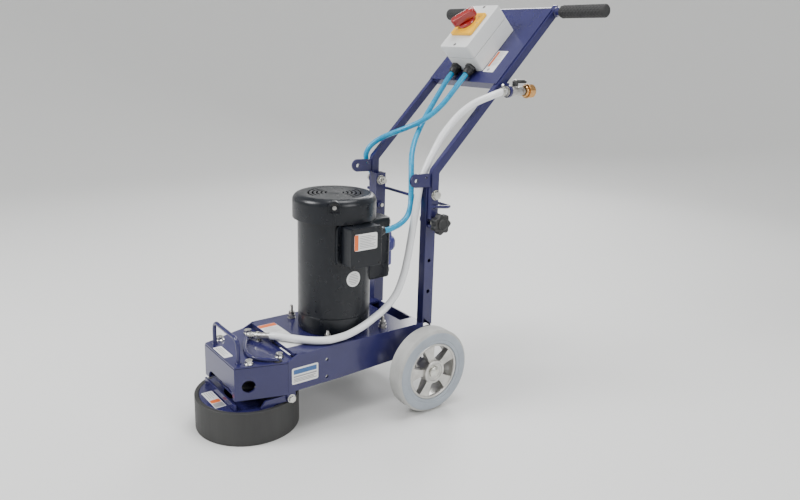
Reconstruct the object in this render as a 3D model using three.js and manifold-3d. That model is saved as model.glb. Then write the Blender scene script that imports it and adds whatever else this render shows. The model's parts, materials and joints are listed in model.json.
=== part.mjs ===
// Walk-behind concrete floor grinder with a fold-down handle, in millimetres, +Z up.
// The grinding head faces -Y, the handle rises towards +Y, and the floor is z = 0.
import * as THREE from 'three';
import { mergeVertices } from 'three/addons/utils/BufferGeometryUtils.js';
import Module from 'manifold-3d';

const wasm = await Module();
wasm.setup();

// ---------- driving dimensions ----------
const GAP = 0.3; // clearance between faces that touch
const AXLE_Y = 33; // the axle, behind the middle of the machine; all other y values start at the axle

const WHEEL_RADIUS = 101.6;
const WHEEL_X = 183;
const AXLE_RADIUS = 10;
const SPOKE_TURN = 0.227;

const RAIL_X = 115; // outer face of the side rails
const RAIL_WEB = 5;
const DECK_TOP = 188;
const DECK_THICKNESS = 6;
const NOSE_TOP = 177;
const NOSE_BOTTOM = 99.3;
const NOSE_FRONT = -448;
const NOSE_BACK = -338;
const NOSE_FRONT_HALF = 80;

const HEAD_Y = -382.5; // grinding spindle
const DISC_RADIUS = 100;
const SHROUD_RADIUS = 117;
const SHROUD_HEIGHT = 77.4;
const SHROUD_PIVOT = [-328, 86]; // y, z

const MOTOR_Y = -152;
const MOTOR_RADIUS = 86;
const MOTOR_TOP = 457;
const FAN_COVER_RADIUS = 98;
const FAN_COVER_TOP = 513.5;
const SHAFT_RADIUS = 12;
const BEARING_BORE = SHAFT_RADIUS + GAP;

const PULLEY_Z = [138, 162];
const BELT_Z = [145, 155];
const SPINDLE_GROOVE = 44;
const MOTOR_GROOVE = 33;
const BELT_THICKNESS = 8;
const BELT_SEAT = 1.2; // how far the faceted belt stands off the groove floor

const UPRIGHT = { x: [93, 115.5], y: [32, 61], z: [176, 528], wall: 3 };
const BAR_X = [115.8, 130];
const BAR_DEPTH = 21;
const FOLD_AXIS = [45, 510]; // y, z
const LOCK_AXIS = [45, 445]; // y, z
const SLOPE_ANGLE = THREE.MathUtils.degToRad(45.45);
const SLOPE_ORIGIN = [122, 658]; // y, z of the bars' front face where the slope is measured from
const GRIP_S = 409;
const GRIP_N = -12;
const GRIP_RADIUS = 16;

const BOX_S = [184, 330.5];
const BOX_SEAM_N = 46.5;
const BOX_TOP_N = 85.5;
const SWITCH_S = 259;
const GLAND_N = 17;
const CABLE_RADIUS = 6.75;
const HOSE_RADIUS = 8.75;
const VALVE_AXIS = [145, 747.8]; // x, z

const finishes = {
  navy: { color: 0x20264f, roughness: 0.3, metalness: 0.3 },
  motor: { color: 0x11131c, roughness: 0.35, metalness: 0.3 },
  steel: { color: 0xa9abad, roughness: 0.35, metalness: 0.9 },
  rubber: { color: 0x1c1c1e, roughness: 0.8, metalness: 0 },
  tyre: { color: 0xb2b4b6, roughness: 0.75, metalness: 0 },
  castAluminium: { color: 0xc2c0ba, roughness: 0.45, metalness: 0.8 },
  castIron: { color: 0x55565a, roughness: 0.6, metalness: 0.6 },
  brass: { color: 0xc99a55, roughness: 0.35, metalness: 0.9 },
  boxGrey: { color: 0xd8d9d8, roughness: 0.5, metalness: 0 },
  yellow: { color: 0xf2b12e, roughness: 0.4, metalness: 0 },
  red: { color: 0xa81814, roughness: 0.4, metalness: 0 },
  black: { color: 0x17171a, roughness: 0.5, metalness: 0 },
  cable: { color: 0x2a9ccc, roughness: 0.4, metalness: 0 },
  plug: { color: 0x35358a, roughness: 0.45, metalness: 0 },
  hose: { color: 0xc9cacf, roughness: 0.45, metalness: 0 },
  copper: { color: 0x8a5a36, roughness: 0.5, metalness: 0.8 },
};

// ---------- solids ----------
function clean(geometry) {
  const loose = geometry.clone();
  loose.deleteAttribute('normal');
  loose.deleteAttribute('uv');
  const merged = mergeVertices(loose, 1e-4);
  const index = Array.from(merged.index.array);
  const kept = [];
  for (let i = 0; i < index.length; i += 3) {
    const [a, b, c] = index.slice(i, i + 3);
    if (a !== b && b !== c && c !== a) kept.push(a, b, c);
  }
  merged.setIndex(kept);
  return merged;
}

function signedVolume(geometry) {
  const corner = [new THREE.Vector3(), new THREE.Vector3(), new THREE.Vector3()];
  const index = geometry.index.array;
  let volume = 0;
  for (let i = 0; i < index.length; i += 3) {
    corner.forEach((point, k) => point.fromBufferAttribute(geometry.attributes.position, index[i + k]));
    volume += corner[0].dot(corner[1].cross(corner[2])) / 6;
  }
  return volume;
}

function toManifold(geometry) {
  const solid = clean(geometry);
  const triVerts = Uint32Array.from(solid.index.array);
  if (signedVolume(solid) < 0) {
    for (let i = 0; i < triVerts.length; i += 3) {
      [triVerts[i], triVerts[i + 1]] = [triVerts[i + 1], triVerts[i]];
    }
  }
  const vertProperties = Float32Array.from(solid.attributes.position.array);
  return new wasm.Manifold(new wasm.Mesh({ numProp: 3, vertProperties, triVerts }));
}

function fromManifold(manifold) {
  const { vertProperties, triVerts } = manifold.getMesh();
  const geometry = new THREE.BufferGeometry();
  geometry.setAttribute('position', new THREE.BufferAttribute(vertProperties, 3));
  geometry.setIndex(new THREE.BufferAttribute(triVerts, 1));
  return geometry;
}

const join = (...pieces) => fromManifold(pieces.map(toManifold).reduce((a, b) => a.add(b)));
const cut = (base, ...tools) => fromManifold(tools.map(toManifold).reduce((a, b) => a.subtract(b), toManifold(base)));

// Turns a shape made along local +Z so that it runs along the named axis.
function alignZ(geometry, axis) {
  if (axis === 'x') geometry.rotateX(Math.PI / 2).rotateZ(Math.PI / 2);
  if (axis === 'y') geometry.rotateX(Math.PI / 2).scale(1, -1, 1);
  return geometry;
}

// Moves a shape to a centre given by the two coordinates across its axis, in X, Y, Z order.
function centreOn(geometry, axis, [first, second]) {
  const offset = { x: [0, first, second], y: [first, 0, second], z: [first, second, 0] }[axis];
  return geometry.translate(...offset);
}

function box(x, y, z) {
  const size = [x, y, z].map(([low, high]) => high - low);
  const middle = [x, y, z].map(([low, high]) => (low + high) / 2);
  return new THREE.BoxGeometry(...size).translate(...middle);
}

function rod(axis, [from, to], radius, centre, sides = 12, endRadius = radius) {
  const geometry = new THREE.CylinderGeometry(endRadius, radius, to - from, sides);
  geometry.rotateX(Math.PI / 2).translate(0, 0, (from + to) / 2);
  return centreOn(alignZ(geometry, axis), axis, centre);
}

// A round hole whose flats clear a shaft of the given radius.
function bore(axis, span, radius, centre, sides = 12) {
  return rod(axis, span, (radius + GAP) / Math.cos(Math.PI / sides), centre, sides);
}

function turned(axis, profile, centre, sides = 16) {
  const points = profile.map(([radius, height]) => new THREE.Vector2(radius, height));
  const geometry = new THREE.LatheGeometry(points, sides).rotateX(Math.PI / 2);
  return centreOn(alignZ(geometry, axis), axis, centre);
}

function ring(axis, [from, to], inner, outer, centre, sides = 20) {
  const profile = [[inner, from], [outer, from], [outer, to], [inner, to], [inner, from]];
  return turned(axis, profile, centre, sides);
}

function outline(points) {
  return new THREE.Shape(points.map(([a, b]) => new THREE.Vector2(a, b)));
}

function roundedRectangle([x0, x1], [y0, y1], radius) {
  const shape = new THREE.Shape();
  shape.moveTo(x0 + radius, y0);
  shape.absarc(x1 - radius, y0 + radius, radius, -Math.PI / 2, 0, false);
  shape.absarc(x1 - radius, y1 - radius, radius, 0, Math.PI / 2, false);
  shape.absarc(x0 + radius, y1 - radius, radius, Math.PI / 2, Math.PI, false);
  shape.absarc(x0 + radius, y0 + radius, radius, Math.PI, 1.5 * Math.PI, false);
  return shape;
}

function extrude(shape, depth, curveSegments = 5) {
  return new THREE.ExtrudeGeometry(shape, { depth, bevelEnabled: false, curveSegments });
}

// A flat outline in x, y with thickness along z.
function plateZ(shape, [from, to], curveSegments) {
  return extrude(shape, to - from, curveSegments).translate(0, 0, from);
}

// A flat outline in y, z with thickness along x.
function plateX(shape, [from, to], curveSegments) {
  const turn = new THREE.Matrix4().makeBasis(
    new THREE.Vector3(0, 1, 0), new THREE.Vector3(0, 0, 1), new THREE.Vector3(1, 0, 0));
  return extrude(shape, to - from, curveSegments).applyMatrix4(turn).translate(from, 0, 0);
}

// A flat outline in x, z with thickness along y.
function plateY(shape, [from, to], curveSegments) {
  return extrude(shape, to - from, curveSegments).rotateX(Math.PI / 2).translate(0, to, 0);
}

function tube(points, radius, { sides = 8, steps = 30 } = {}) {
  const section = new THREE.Shape();
  section.absarc(0, 0, radius, 0, 2 * Math.PI, false);
  const path = new THREE.CatmullRomCurve3(points.map((p) => new THREE.Vector3(...p)), false, 'catmullrom', 0.5);
  const options = { steps, extrudePath: path, bevelEnabled: false, curveSegments: sides / 2 };
  return new THREE.ExtrudeGeometry(section, options);
}

// A rod between two points in space.
function strut(from, to, radius, sides = 6, endRadius = radius) {
  const start = new THREE.Vector3(...from);
  const direction = new THREE.Vector3(...to).sub(start);
  const geometry = new THREE.CylinderGeometry(endRadius, radius, direction.length(), sides);
  geometry.translate(0, direction.length() / 2, 0);
  const turn = new THREE.Quaternion().setFromUnitVectors(new THREE.Vector3(0, 1, 0), direction.clone().normalize());
  return geometry.applyQuaternion(turn).translate(...from);
}

const mirrorX = (geometry) => clean(geometry).scale(-1, 1, 1);
const bothSides = (geometry) => join(geometry, mirrorX(geometry));

const grinder = new THREE.Group();
grinder.position.y = AXLE_Y;

function part(name, finish, geometry, parent = grinder) {
  const solid = join(geometry).toNonIndexed();
  solid.computeVertexNormals();
  const mesh = new THREE.Mesh(solid, new THREE.MeshStandardMaterial(finishes[finish]));
  mesh.name = name;
  parent.add(mesh);
}

// ---------- chassis ----------
function railOutline() {
  const shape = new THREE.Shape();
  shape.moveTo(NOSE_BACK + GAP, 103.4);
  shape.lineTo(-205, 104.6);
  shape.lineTo(-55, 110.5);
  shape.absarc(0, WHEEL_RADIUS, 28, Math.PI * 1.08, Math.PI * 1.92, false);
  shape.lineTo(UPRIGHT.y[1], 124);
  shape.lineTo(UPRIGHT.y[1], UPRIGHT.z[0] - GAP);
  shape.lineTo(UPRIGHT.y[0] - GAP, UPRIGHT.z[0] - GAP);
  shape.lineTo(UPRIGHT.y[0] - GAP, DECK_TOP);
  shape.lineTo(-313, DECK_TOP);
  shape.lineTo(NOSE_BACK + GAP, NOSE_TOP - 0.8);
  return shape;
}

function rail() {
  const web = plateX(railOutline(), [RAIL_X - RAIL_WEB, RAIL_X], 4);
  const flange = box([105.3, 112], [-313, UPRIGHT.y[0] - GAP], [DECK_TOP - DECK_THICKNESS, DECK_TOP]);
  const tab = box([105.5, 110.5], [NOSE_BACK + GAP, -318], [79.5, 110]);
  const holes = [158.5, 116.8].map((z) => rod('x', [105, 120], 4, [-240, z], 8));
  const axleHole = bore('x', [105, 120], AXLE_RADIUS, [0, WHEEL_RADIUS]);
  const pivotPin = rod('x', [97, 112], 4, SHROUD_PIVOT, 16);
  const pivotHead = rod('x', [110, 116.5], 7.5, SHROUD_PIVOT, 6);
  return join(cut(join(web, flange, tab), ...holes, axleHole), pivotPin, pivotHead);
}

function chassisFrame() {
  const inner = RAIL_X - RAIL_WEB / 2;
  const front = box([-inner, inner], [-312, -307], [103.6, 128]);
  const middle = box([-inner, inner], [-20, -15], [112, DECK_TOP - DECK_THICKNESS - GAP]);
  const rearLow = box([-inner, inner], [UPRIGHT.y[0] - GAP, 36], [124, UPRIGHT.z[0] - GAP]);
  const rearHigh = box([-92.7, 92.7], [UPRIGHT.y[0] - GAP, 36], [170, DECK_TOP]);
  return join(bothSides(rail()), front, middle, rearLow, rearHigh);
}

function deckPlate() {
  const notch = [[72, 31.4], [72, -4], [-72, -4], [-72, 31.4]];
  const edge = outline([[-105, 31.4], [-105, -318], [105, -318], [105, 31.4], ...notch]);
  const plate = plateZ(edge, [DECK_TOP - DECK_THICKNESS, DECK_TOP]);
  const lip = box([-105, 105], [-318, -313], [NOSE_TOP + GAP, DECK_TOP]);
  const below = box([-106, 106], [-319, -313], [180, NOSE_TOP + GAP]);
  const shaftHole = rod('z', [180, 190], 30, [0, MOTOR_Y], 20);
  const studHoles = studPlaces().map((place) => bore('z', [180, 190], 4, place, 10));
  return cut(join(plate, lip), below, shaftHole, ...studHoles);
}

function studPlaces() {
  return [[86, -221], [-86, -221], [86, -67], [-86, -67]];
}

function nosePlan(inset, back) {
  const slope = (RAIL_X - NOSE_FRONT_HALF) / (NOSE_BACK - NOSE_FRONT);
  const side = inset * Math.hypot(1, slope);
  const halfAt = (y) => NOSE_FRONT_HALF + slope * (Math.min(y, NOSE_BACK) - NOSE_FRONT) - side;
  const front = NOSE_FRONT + inset;
  const points = [[halfAt(front), front], [halfAt(NOSE_BACK), NOSE_BACK], [halfAt(NOSE_BACK), back]];
  const mirrored = points.map(([x, y]) => [-x, y]).reverse();
  return outline([...mirrored, ...points]);
}

function noseHousing() {
  const outer = plateZ(nosePlan(0, NOSE_BACK), [NOSE_BOTTOM, NOSE_TOP - 4 - GAP]);
  const cavity = plateZ(nosePlan(5, NOSE_BACK + 20), [NOSE_BOTTOM + 4, NOSE_TOP]);
  const arch = plateY(roundedRectangle([-60, 70], [70, 120], 18), [NOSE_FRONT - 5, NOSE_FRONT + 8]);
  const ports = bothSides(rod('x', [70, 110], 14, [-419, 130.5], 24));
  const housingHole = bore('z', [90, 110], 38, [0, HEAD_Y], 20);
  return cut(outer, cavity, arch, ports, housingHole);
}

function coverBoltPlaces() {
  return [[77, -412], [-77, -412], [80, -341], [-80, -341]];
}

function noseCover() {
  const plate = plateZ(nosePlan(0.8, -318 - GAP), [NOSE_TOP - 4, NOSE_TOP]);
  const rails = bothSides(box([RAIL_X - RAIL_WEB - GAP, RAIL_X + 5], [NOSE_BACK, -310], [170, 180]));
  const boltHoles = coverBoltPlaces().map((place) => bore('z', [170, 180], 5, place, 8));
  const pipeHole = rod('z', [170, 180], 8, [98.4, -356]);
  return join(cut(plate, rails, ...boltHoles, pipeHole), liftHandle());
}

function flangeBolt([x, y]) {
  const head = rod('z', [NOSE_TOP + 2, NOSE_TOP + 10], 10.5, [x, y], 6);
  const flange = rod('z', [NOSE_TOP + GAP, NOSE_TOP + 3], 11, [x, y], 12);
  return join(head, flange, rod('z', [160, NOSE_TOP + 1], 5, [x, y], 8));
}

function liftHandle() {
  const foot = [[-63, -430, NOSE_TOP - 2], [-63, -430, 192], [-63, -430, 212], [-60, -430, 224]];
  const corner = [[-50, -430, 230.5], [-30, -430, 230.5]];
  const half = [...foot, ...corner];
  const mirrored = half.map(([x, y, z]) => [-x, y, z]).reverse();
  return tube([...half, ...mirrored], 4.5, { sides: 6, steps: 18 });
}

function spindleHousing() {
  const profile = [
    [26.3, 84], [38, 84], [38, 103.6], [56, 103.6], [56, 109.6], [38, 109.6], [38, 134], [26.3, 134],
    [26.3, 117], [22, 117], [22, 101.5], [26.3, 101.5], [26.3, 84],
  ];
  return turned('z', profile, [0, HEAD_Y], 24);
}

// Two bearings on one inner spacer sleeve.
function spindleBearings() {
  const profile = [
    [BEARING_BORE, 86], [26, 86], [26, 101.2], [15, 101.2], [15, 117.3], [26, 117.3], [26, 132], [BEARING_BORE, 132],
    [BEARING_BORE, 86],
  ];
  return turned('z', profile, [0, HEAD_Y], 24);
}

function axleShaft() {
  const half = [[10, 0], [10, 115.4], [15, 115.4], [15, 161], [10, 161], [10, 206], [15, 206], [7, 213]];
  const mirrored = half.slice(1).map(([r, x]) => [r, -x]).reverse();
  return turned('x', [[0, -213], ...mirrored, ...half, [0, 213]], [0, WHEEL_RADIUS], 16);
}

function buildChassis() {
  part('chassis_frame', 'navy', chassisFrame());
  part('deck_plate', 'navy', deckPlate());
  part('nose_housing', 'navy', noseHousing());
  part('nose_cover_plate', 'navy', noseCover());
  coverBoltPlaces().forEach((place, i) => part(`cover_bolt_${i + 1}`, 'steel', flangeBolt(place)));
  part('spindle_housing', 'castIron', spindleHousing());
  part('spindle_bearings', 'steel', spindleBearings());
  part('axle', 'steel', axleShaft());
}

// ---------- uprights ----------
function upright() {
  const { x, y, z, wall } = UPRIGHT;
  const outer = box(x, y, z);
  const inner = box([x[0] + wall, x[1] - wall], [y[0] + wall, y[1] - wall], [z[0] - 1, z[1] + 1]);
  const boltHole = bore('x', [x[0] - 5, x[1] + 5], 6, FOLD_AXIS);
  const lockHole = bore('x', [x[0] - 12, x[1] + 5], 5, LOCK_AXIS);
  const spareHoles = [345.5, 267].map((height) => rod('x', [x[1] - wall - 1, x[1] + 5], 5, [46, height], 8));
  const footCut = outline([[35.2, 170], [61.5, 170], [61.5, 178.4], [35.2, 199]]);
  const chamfer = plateX(footCut, [x[1] - wall - GAP, x[1] + 1]);
  const weldNut = rod('x', [x[0] - 8, x[0] + 1], 10, LOCK_AXIS, 6);
  return cut(join(outer, weldNut), inner, boltHole, lockHole, ...spareHoles, chamfer);
}

function hingeBolt() {
  const shank = rod('x', [72, 134], 6, FOLD_AXIS, 12);
  const washer = rod('x', [BAR_X[1] + GAP, 132.5], 12, FOLD_AXIS, 12);
  const head = rod('x', [132.4, 140], 11, FOLD_AXIS, 6);
  const nut = rod('x', [80, UPRIGHT.x[0] - GAP], 11, FOLD_AXIS, 6);
  return join(shank, washer, head, nut);
}

function starKnob(side) {
  const stud = rod('x', [83, 150], 5, LOCK_AXIS, 8);
  const washer = rod('x', [BAR_X[1] + GAP, 134], 12, LOCK_AXIS, 12);
  const hub = rod('x', [133.5, 147], 14, LOCK_AXIS, 12);
  const lobes = 7;
  const corners = lobes * 4;
  const outlinePoints = [...Array(corners).keys()].map((i) => {
    const angle = (i / corners) * 2 * Math.PI;
    const radius = 23.6 + 1.8 * Math.cos(lobes * angle);
    return [LOCK_AXIS[0] + radius * Math.cos(angle), LOCK_AXIS[1] + radius * Math.sin(angle)];
  });
  const head = plateX(outline(outlinePoints), [145, 162]);
  const cap = rod('x', [161, 165], 15, LOCK_AXIS, 12, 11);
  const knob = join(stud, washer, hub, head, cap);
  return side > 0 ? knob : mirrorX(knob);
}

function buildUprights() {
  part('upright_near', 'navy', upright());
  part('upright_far', 'navy', mirrorX(upright()));
  part('hinge_bolt_near', 'steel', hingeBolt());
  part('hinge_bolt_far', 'steel', mirrorX(hingeBolt()));
  part('star_knob_near', 'black', starKnob(1));
  part('star_knob_far', 'black', starKnob(-1));
}

// ---------- wheels ----------
function tyre() {
  const half = [[69.4, 22], [94, 24], [101.6, 18]];
  const mirrored = half.map(([r, x]) => [r, -x]).reverse();
  return turned('x', [...half, ...mirrored, half[0]], [0, WHEEL_RADIUS], 32);
}

function rim() {
  const centre = [0, WHEEL_RADIUS];
  const band = turned('x', [[61, -16], [69, -20], [69, 20], [61, 19.5], [61, -16]], centre, 24);
  const barrel = rod('x', [-21.6, 22.6], 20, centre, 16);
  const hubRing = turned('x', [[18, 0], [18, 26], [28.5, 25], [28.5, -4], [18, -8], [18, 0]], centre, 20);
  const axleHole = bore('x', [-30, 30], AXLE_RADIUS, centre, 16);
  const spokeOutline = outline([[-7.5, 24], [-16.5, 63], [16.5, 63], [7.5, 24]]);
  const spokes = [...Array(5).keys()].map((i) => plateX(spokeOutline, [-4, 19])
    .rotateX((i / 5) * 2 * Math.PI + SPOKE_TURN)
    .translate(0, 0, WHEEL_RADIUS));
  return cut(join(band, barrel, hubRing, ...spokes), axleHole);
}

function buildWheels() {
  [['near', 1], ['far', -1]].forEach(([name, side]) => {
    const wheel = new THREE.Group();
    wheel.position.x = side * WHEEL_X;
    grinder.add(wheel);
    const place = side > 0 ? (geometry) => geometry : mirrorX;
    part(`tyre_${name}`, 'tyre', place(tyre()), wheel);
    part(`rim_${name}`, 'castAluminium', place(rim()), wheel);
  });
}

// ---------- motor ----------
function motorEndBell() {
  const profile = [
    [BEARING_BORE, 188.3], [MOTOR_RADIUS, 188.3], [MOTOR_RADIUS, 229.7], [79, 229.7], [79, 205], [32, 205],
    [32, 222], [BEARING_BORE, 222], [BEARING_BORE, 188.3],
  ];
  return turned('z', profile, [0, MOTOR_Y], 28);
}

function motorFrame() {
  const profile = [
    [80, 230], [MOTOR_RADIUS, 230], [MOTOR_RADIUS, MOTOR_TOP - GAP], [BEARING_BORE, MOTOR_TOP - GAP],
    [BEARING_BORE, 436], [32, 436], [32, 449], [80, 449], [80, 230],
  ];
  return turned('z', profile, [0, MOTOR_Y], 28);
}

function motorRotor() {
  const profile = [
    [0, 135], [SHAFT_RADIUS, 135], [SHAFT_RADIUS, 256], [20, 262], [49.6, 262], [49.6, 418], [20, 418],
    [SHAFT_RADIUS, 424], [SHAFT_RADIUS, 488], [0, 488],
  ];
  return turned('z', profile, [0, MOTOR_Y], 20);
}

function coolingFan() {
  const centre = [0, MOTOR_Y];
  const hub = rod('z', [462, 486], 22, centre);
  const disc = rod('z', [462, 464.5], 78, centre, 24);
  const shaftHole = bore('z', [450, 500], SHAFT_RADIUS, centre);
  const blades = [...Array(8).keys()].map((i) => box([18, 77], [-1.2, 1.2], [464, 490])
    .rotateZ((i / 8) * 2 * Math.PI)
    .translate(0, MOTOR_Y, 0));
  return cut(join(hub, disc, ...blades), shaftHole);
}

function ventSlots() {
  const slots = [];
  [-1, 1].forEach((side) => {
    [30, 56].forEach((radius) => {
      const halfAngle = Math.min(1.0, 38 / radius) * 0.72;
      const shape = new THREE.Shape();
      shape.absarc(0, 0, radius + 4, -halfAngle, halfAngle, false);
      shape.absarc(0, 0, radius - 4, halfAngle, -halfAngle, true);
      const slot = plateZ(shape, [FAN_COVER_TOP - 12, FAN_COVER_TOP + 2], 3);
      slots.push(slot.rotateZ(side > 0 ? 0.92 : 0.92 + Math.PI).translate(0, MOTOR_Y, 0));
    });
  });
  return slots;
}

function fanCover() {
  const shoulder = 13.5;
  const wall = 2;
  const arcs = (radius) => [0, 1, 2, 3].map((i) => {
    const angle = (i / 3) * (Math.PI / 2);
    const x = FAN_COVER_RADIUS - shoulder + radius * Math.cos(angle);
    return [x, FAN_COVER_TOP - shoulder + radius * Math.sin(angle)];
  });
  const profile = [
    [0, FAN_COVER_TOP - wall], ...arcs(shoulder - wall).reverse(), [FAN_COVER_RADIUS - wall, MOTOR_TOP + GAP],
    [FAN_COVER_RADIUS, MOTOR_TOP + GAP], ...arcs(shoulder), [0, FAN_COVER_TOP],
  ];
  return cut(turned('z', profile, [0, MOTOR_Y], 28), ...ventSlots());
}

function aroundMotor(geometry, clearance = GAP) {
  return cut(geometry, rod('z', [150, 520], MOTOR_RADIUS + clearance, [0, MOTOR_Y], 28));
}

function capacitorCover() {
  const shell = plateZ(roundedRectangle([5, 60], [-95, -28], 8), [303, 452], 3);
  const inside = plateZ(roundedRectangle([8, 57], [-100, -31], 6), [306, 449], 3);
  return aroundMotor(cut(shell, inside));
}

function terminalBoxBase() {
  const body = box([60, 117], [-186, -106], [365, 455]);
  const flange = box([80, 88], [-196, -95], [361, 456]);
  const inside = box([50, 120], [-183, -109], [368, 452]);
  return aroundMotor(cut(join(body, flange), inside));
}

function terminalBoxLid() {
  const plate = plateX(roundedRectangle([-187, -105], [364, 456], 4), [117.3, 128], 3);
  return cut(plate, box([110, 125], [-184, -108], [367, 453]));
}

const MOTOR_GLAND = [100, 434]; // x, z
const MOTOR_GLAND_END = -79.7;

function motorCableGland() {
  const nut = rod('y', [-105.7, -97], 13, MOTOR_GLAND, 6);
  const dome = rod('y', [-98, MOTOR_GLAND_END], 11.5, MOTOR_GLAND, 16, 8.5);
  return join(nut, dome);
}

function buildMotor() {
  part('motor_end_bell', 'motor', motorEndBell());
  part('motor_frame', 'motor', motorFrame());
  part('motor_stator', 'copper', ring('z', [262, 418], 50.4, 79.6, [0, MOTOR_Y], 28));
  part('motor_rotor', 'steel', motorRotor());
  part('cooling_fan', 'black', coolingFan());
  part('fan_cover', 'motor', fanCover());
  part('capacitor_cover', 'motor', capacitorCover());
  part('terminal_box_base', 'motor', terminalBoxBase());
  part('terminal_box_lid', 'motor', terminalBoxLid());
  part('motor_cable_gland', 'black', motorCableGland());
}

// ---------- belt drive and grinding head ----------
function pulley(groove, flange, y) {
  const [low, high] = PULLEY_Z;
  const [beltLow, beltHigh] = BELT_Z;
  const profile = [
    [BEARING_BORE, low], [flange, low], [flange, beltLow - 2], [groove, beltLow - GAP], [groove, beltHigh + GAP],
    [flange, beltHigh + 2], [flange, high], [BEARING_BORE, high], [BEARING_BORE, low],
  ];
  return turned('z', profile, [0, y], 20);
}

// The loop around both pulleys: two round ends joined by straight tangents.
function beltLoop(offset) {
  const head = SPINDLE_GROOVE + offset;
  const motor = MOTOR_GROOVE + offset;
  const lean = Math.asin((SPINDLE_GROOVE - MOTOR_GROOVE) / (MOTOR_Y - HEAD_Y));
  const loop = new THREE.Shape();
  loop.absarc(0, MOTOR_Y, motor, lean, Math.PI - lean, false);
  loop.absarc(0, HEAD_Y, head, Math.PI - lean, 2 * Math.PI + lean, false);
  return loop;
}

function driveBelt() {
  const outer = plateZ(beltLoop(BELT_SEAT + BELT_THICKNESS), BELT_Z, 9);
  const inner = plateZ(beltLoop(BELT_SEAT), [BELT_Z[0] - 1, BELT_Z[1] + 1], 9);
  return cut(outer, inner);
}

function spindleShaft() {
  const profile = [
    [0, 12], [19.7, 12], [19.7, 18.2], [35, 18.2], [35, 32], [22, 36], [SHAFT_RADIUS, 40], [SHAFT_RADIUS, 166],
    [0, 166],
  ];
  return turned('z', profile, [0, HEAD_Y], 20);
}

// Six diamond segments on their steel backing ring.
function diamondSegments() {
  const count = 6;
  const sweep = 0.72;
  const segment = new THREE.Shape();
  segment.absarc(0, 0, 98, 0, sweep, false);
  segment.absarc(0, 0, 72, sweep, 0, true);
  const pieces = [...Array(count).keys()].map((i) => plateZ(segment, [0, 8], 3)
    .rotateZ((i / count) * 2 * Math.PI)
    .translate(0, HEAD_Y, 0));
  return join(ring('z', [7, 9.7], 70, 98.5, [0, HEAD_Y], 24), ...pieces);
}

// The plate inside the skirt, with an upright bar across its front and an ear out to each pivot.
function shroudCarrier() {
  const plate = ring('z', [70.5, 76.5], 52, SHROUD_RADIUS - 10.4, [0, HEAD_Y], 36);
  const bar = box([-82, 82], [-450, -445], [78.6, 91.5]);
  const barFeet = bothSides(box([30, 60], [-450, -445], [74, 80]));
  const ears = bothSides(box([99.8, 104.8], [-400, -316], [78.6, 94]));
  const earFeet = bothSides(box([99.8, 104.8], [-397, -368], [74, 80]));
  const pivotHoles = rod('x', [-120, 120], 4 + GAP, SHROUD_PIVOT, 16);
  return cut(join(plate, bar, barFeet, ears, earFeet), pivotHoles);
}

function buildDrive() {
  part('motor_pulley', 'castIron', pulley(MOTOR_GROOVE, 42, MOTOR_Y));
  part('spindle_pulley', 'castIron', pulley(SPINDLE_GROOVE, 54, HEAD_Y));
  part('drive_belt', 'rubber', driveBelt());
  part('spindle_shaft', 'steel', spindleShaft());
  part('grinding_disc', 'castIron', ring('z', [10, 17.9], 20.6, DISC_RADIUS, [0, HEAD_Y], 32));
  part('diamond_segments', 'brass', diamondSegments());
  part('shroud_carrier', 'navy', shroudCarrier());
  part('shroud_ring', 'rubber', ring('z', [0, SHROUD_HEIGHT], SHROUD_RADIUS - 10, SHROUD_RADIUS, [0, HEAD_Y], 36));
}

// ---------- handle ----------
function slopePoint(s, n) {
  const y = SLOPE_ORIGIN[0] + s * Math.cos(SLOPE_ANGLE) - n * Math.sin(SLOPE_ANGLE);
  const z = SLOPE_ORIGIN[1] + s * Math.sin(SLOPE_ANGLE) + n * Math.cos(SLOPE_ANGLE);
  return [y, z];
}

const slope = new THREE.Group();
slope.position.set(0, ...SLOPE_ORIGIN);
slope.rotation.x = SLOPE_ANGLE;
grinder.add(slope);

function bar() {
  const [front, back, tail] = [34, 56, 428];
  const shape = outline([
    [front + 6, tail], [back - 6, tail], [back, tail + 6], [back, 560],
    slopePoint(-113, -BAR_DEPTH), slopePoint(422, -BAR_DEPTH), slopePoint(422, 0), slopePoint(-122, 0),
    [front, 564], [front, tail + 6],
  ]);
  const beam = plateX(shape, BAR_X);
  const [lockY, lockZ] = LOCK_AXIS;
  const slotEnd = rod('x', [110, 140], 7, LOCK_AXIS, 12);
  const slot = box([110, 140], [front - 2, lockY], [lockZ - 7, lockZ + 7]);
  const boltHole = bore('x', [110, 140], 6, FOLD_AXIS);
  const gripHole = bore('x', [110, 140], 8, slopePoint(GRIP_S, GRIP_N), 20);
  return cut(join(beam, lockEar()), slotEnd, slot, boltHole, gripHole);
}

// The plate that meets the star knob's hole when the handle is folded forward.
function lockEar() {
  const ear = new THREE.Shape();
  ear.moveTo(36, 561);
  ear.absarc(-8.3, 547.3, 16.2, Math.PI / 2, 1.5 * Math.PI, false);
  ear.lineTo(36, 529.5);
  const holes = [rod('x', [115, 130], 5.2, [-8.3, 547]), rod('x', [115, 130], 3, [20.5, 553], 8)];
  return cut(plateX(ear, [119, 125], 7), ...holes);
}

// The ring that carries the water valve, outside the near bar on a strap welded to it.
function valveBracket() {
  const [x, z] = VALVE_AXIS;
  const ringOuter = rod('y', [243, 251], 15, VALVE_AXIS, 16);
  const strap = box([120, x + 1], [244, 250], [z, z + 20]);
  return cut(join(ringOuter, strap), bore('y', [236, 260], 9.3, VALVE_AXIS));
}

function crossbar() {
  const half = [
    [11, 0], [11, BAR_X[0] - GAP], [8, BAR_X[0] - GAP], [8, BAR_X[1] + GAP], [11, BAR_X[1] + GAP], [11, 279],
  ];
  const mirrored = half.slice(1).map(([r, x]) => [r, -x]).reverse();
  return turned('x', [[0, -279], ...mirrored, ...half, [0, 279]], [GRIP_S, GRIP_N], 20);
}

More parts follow.
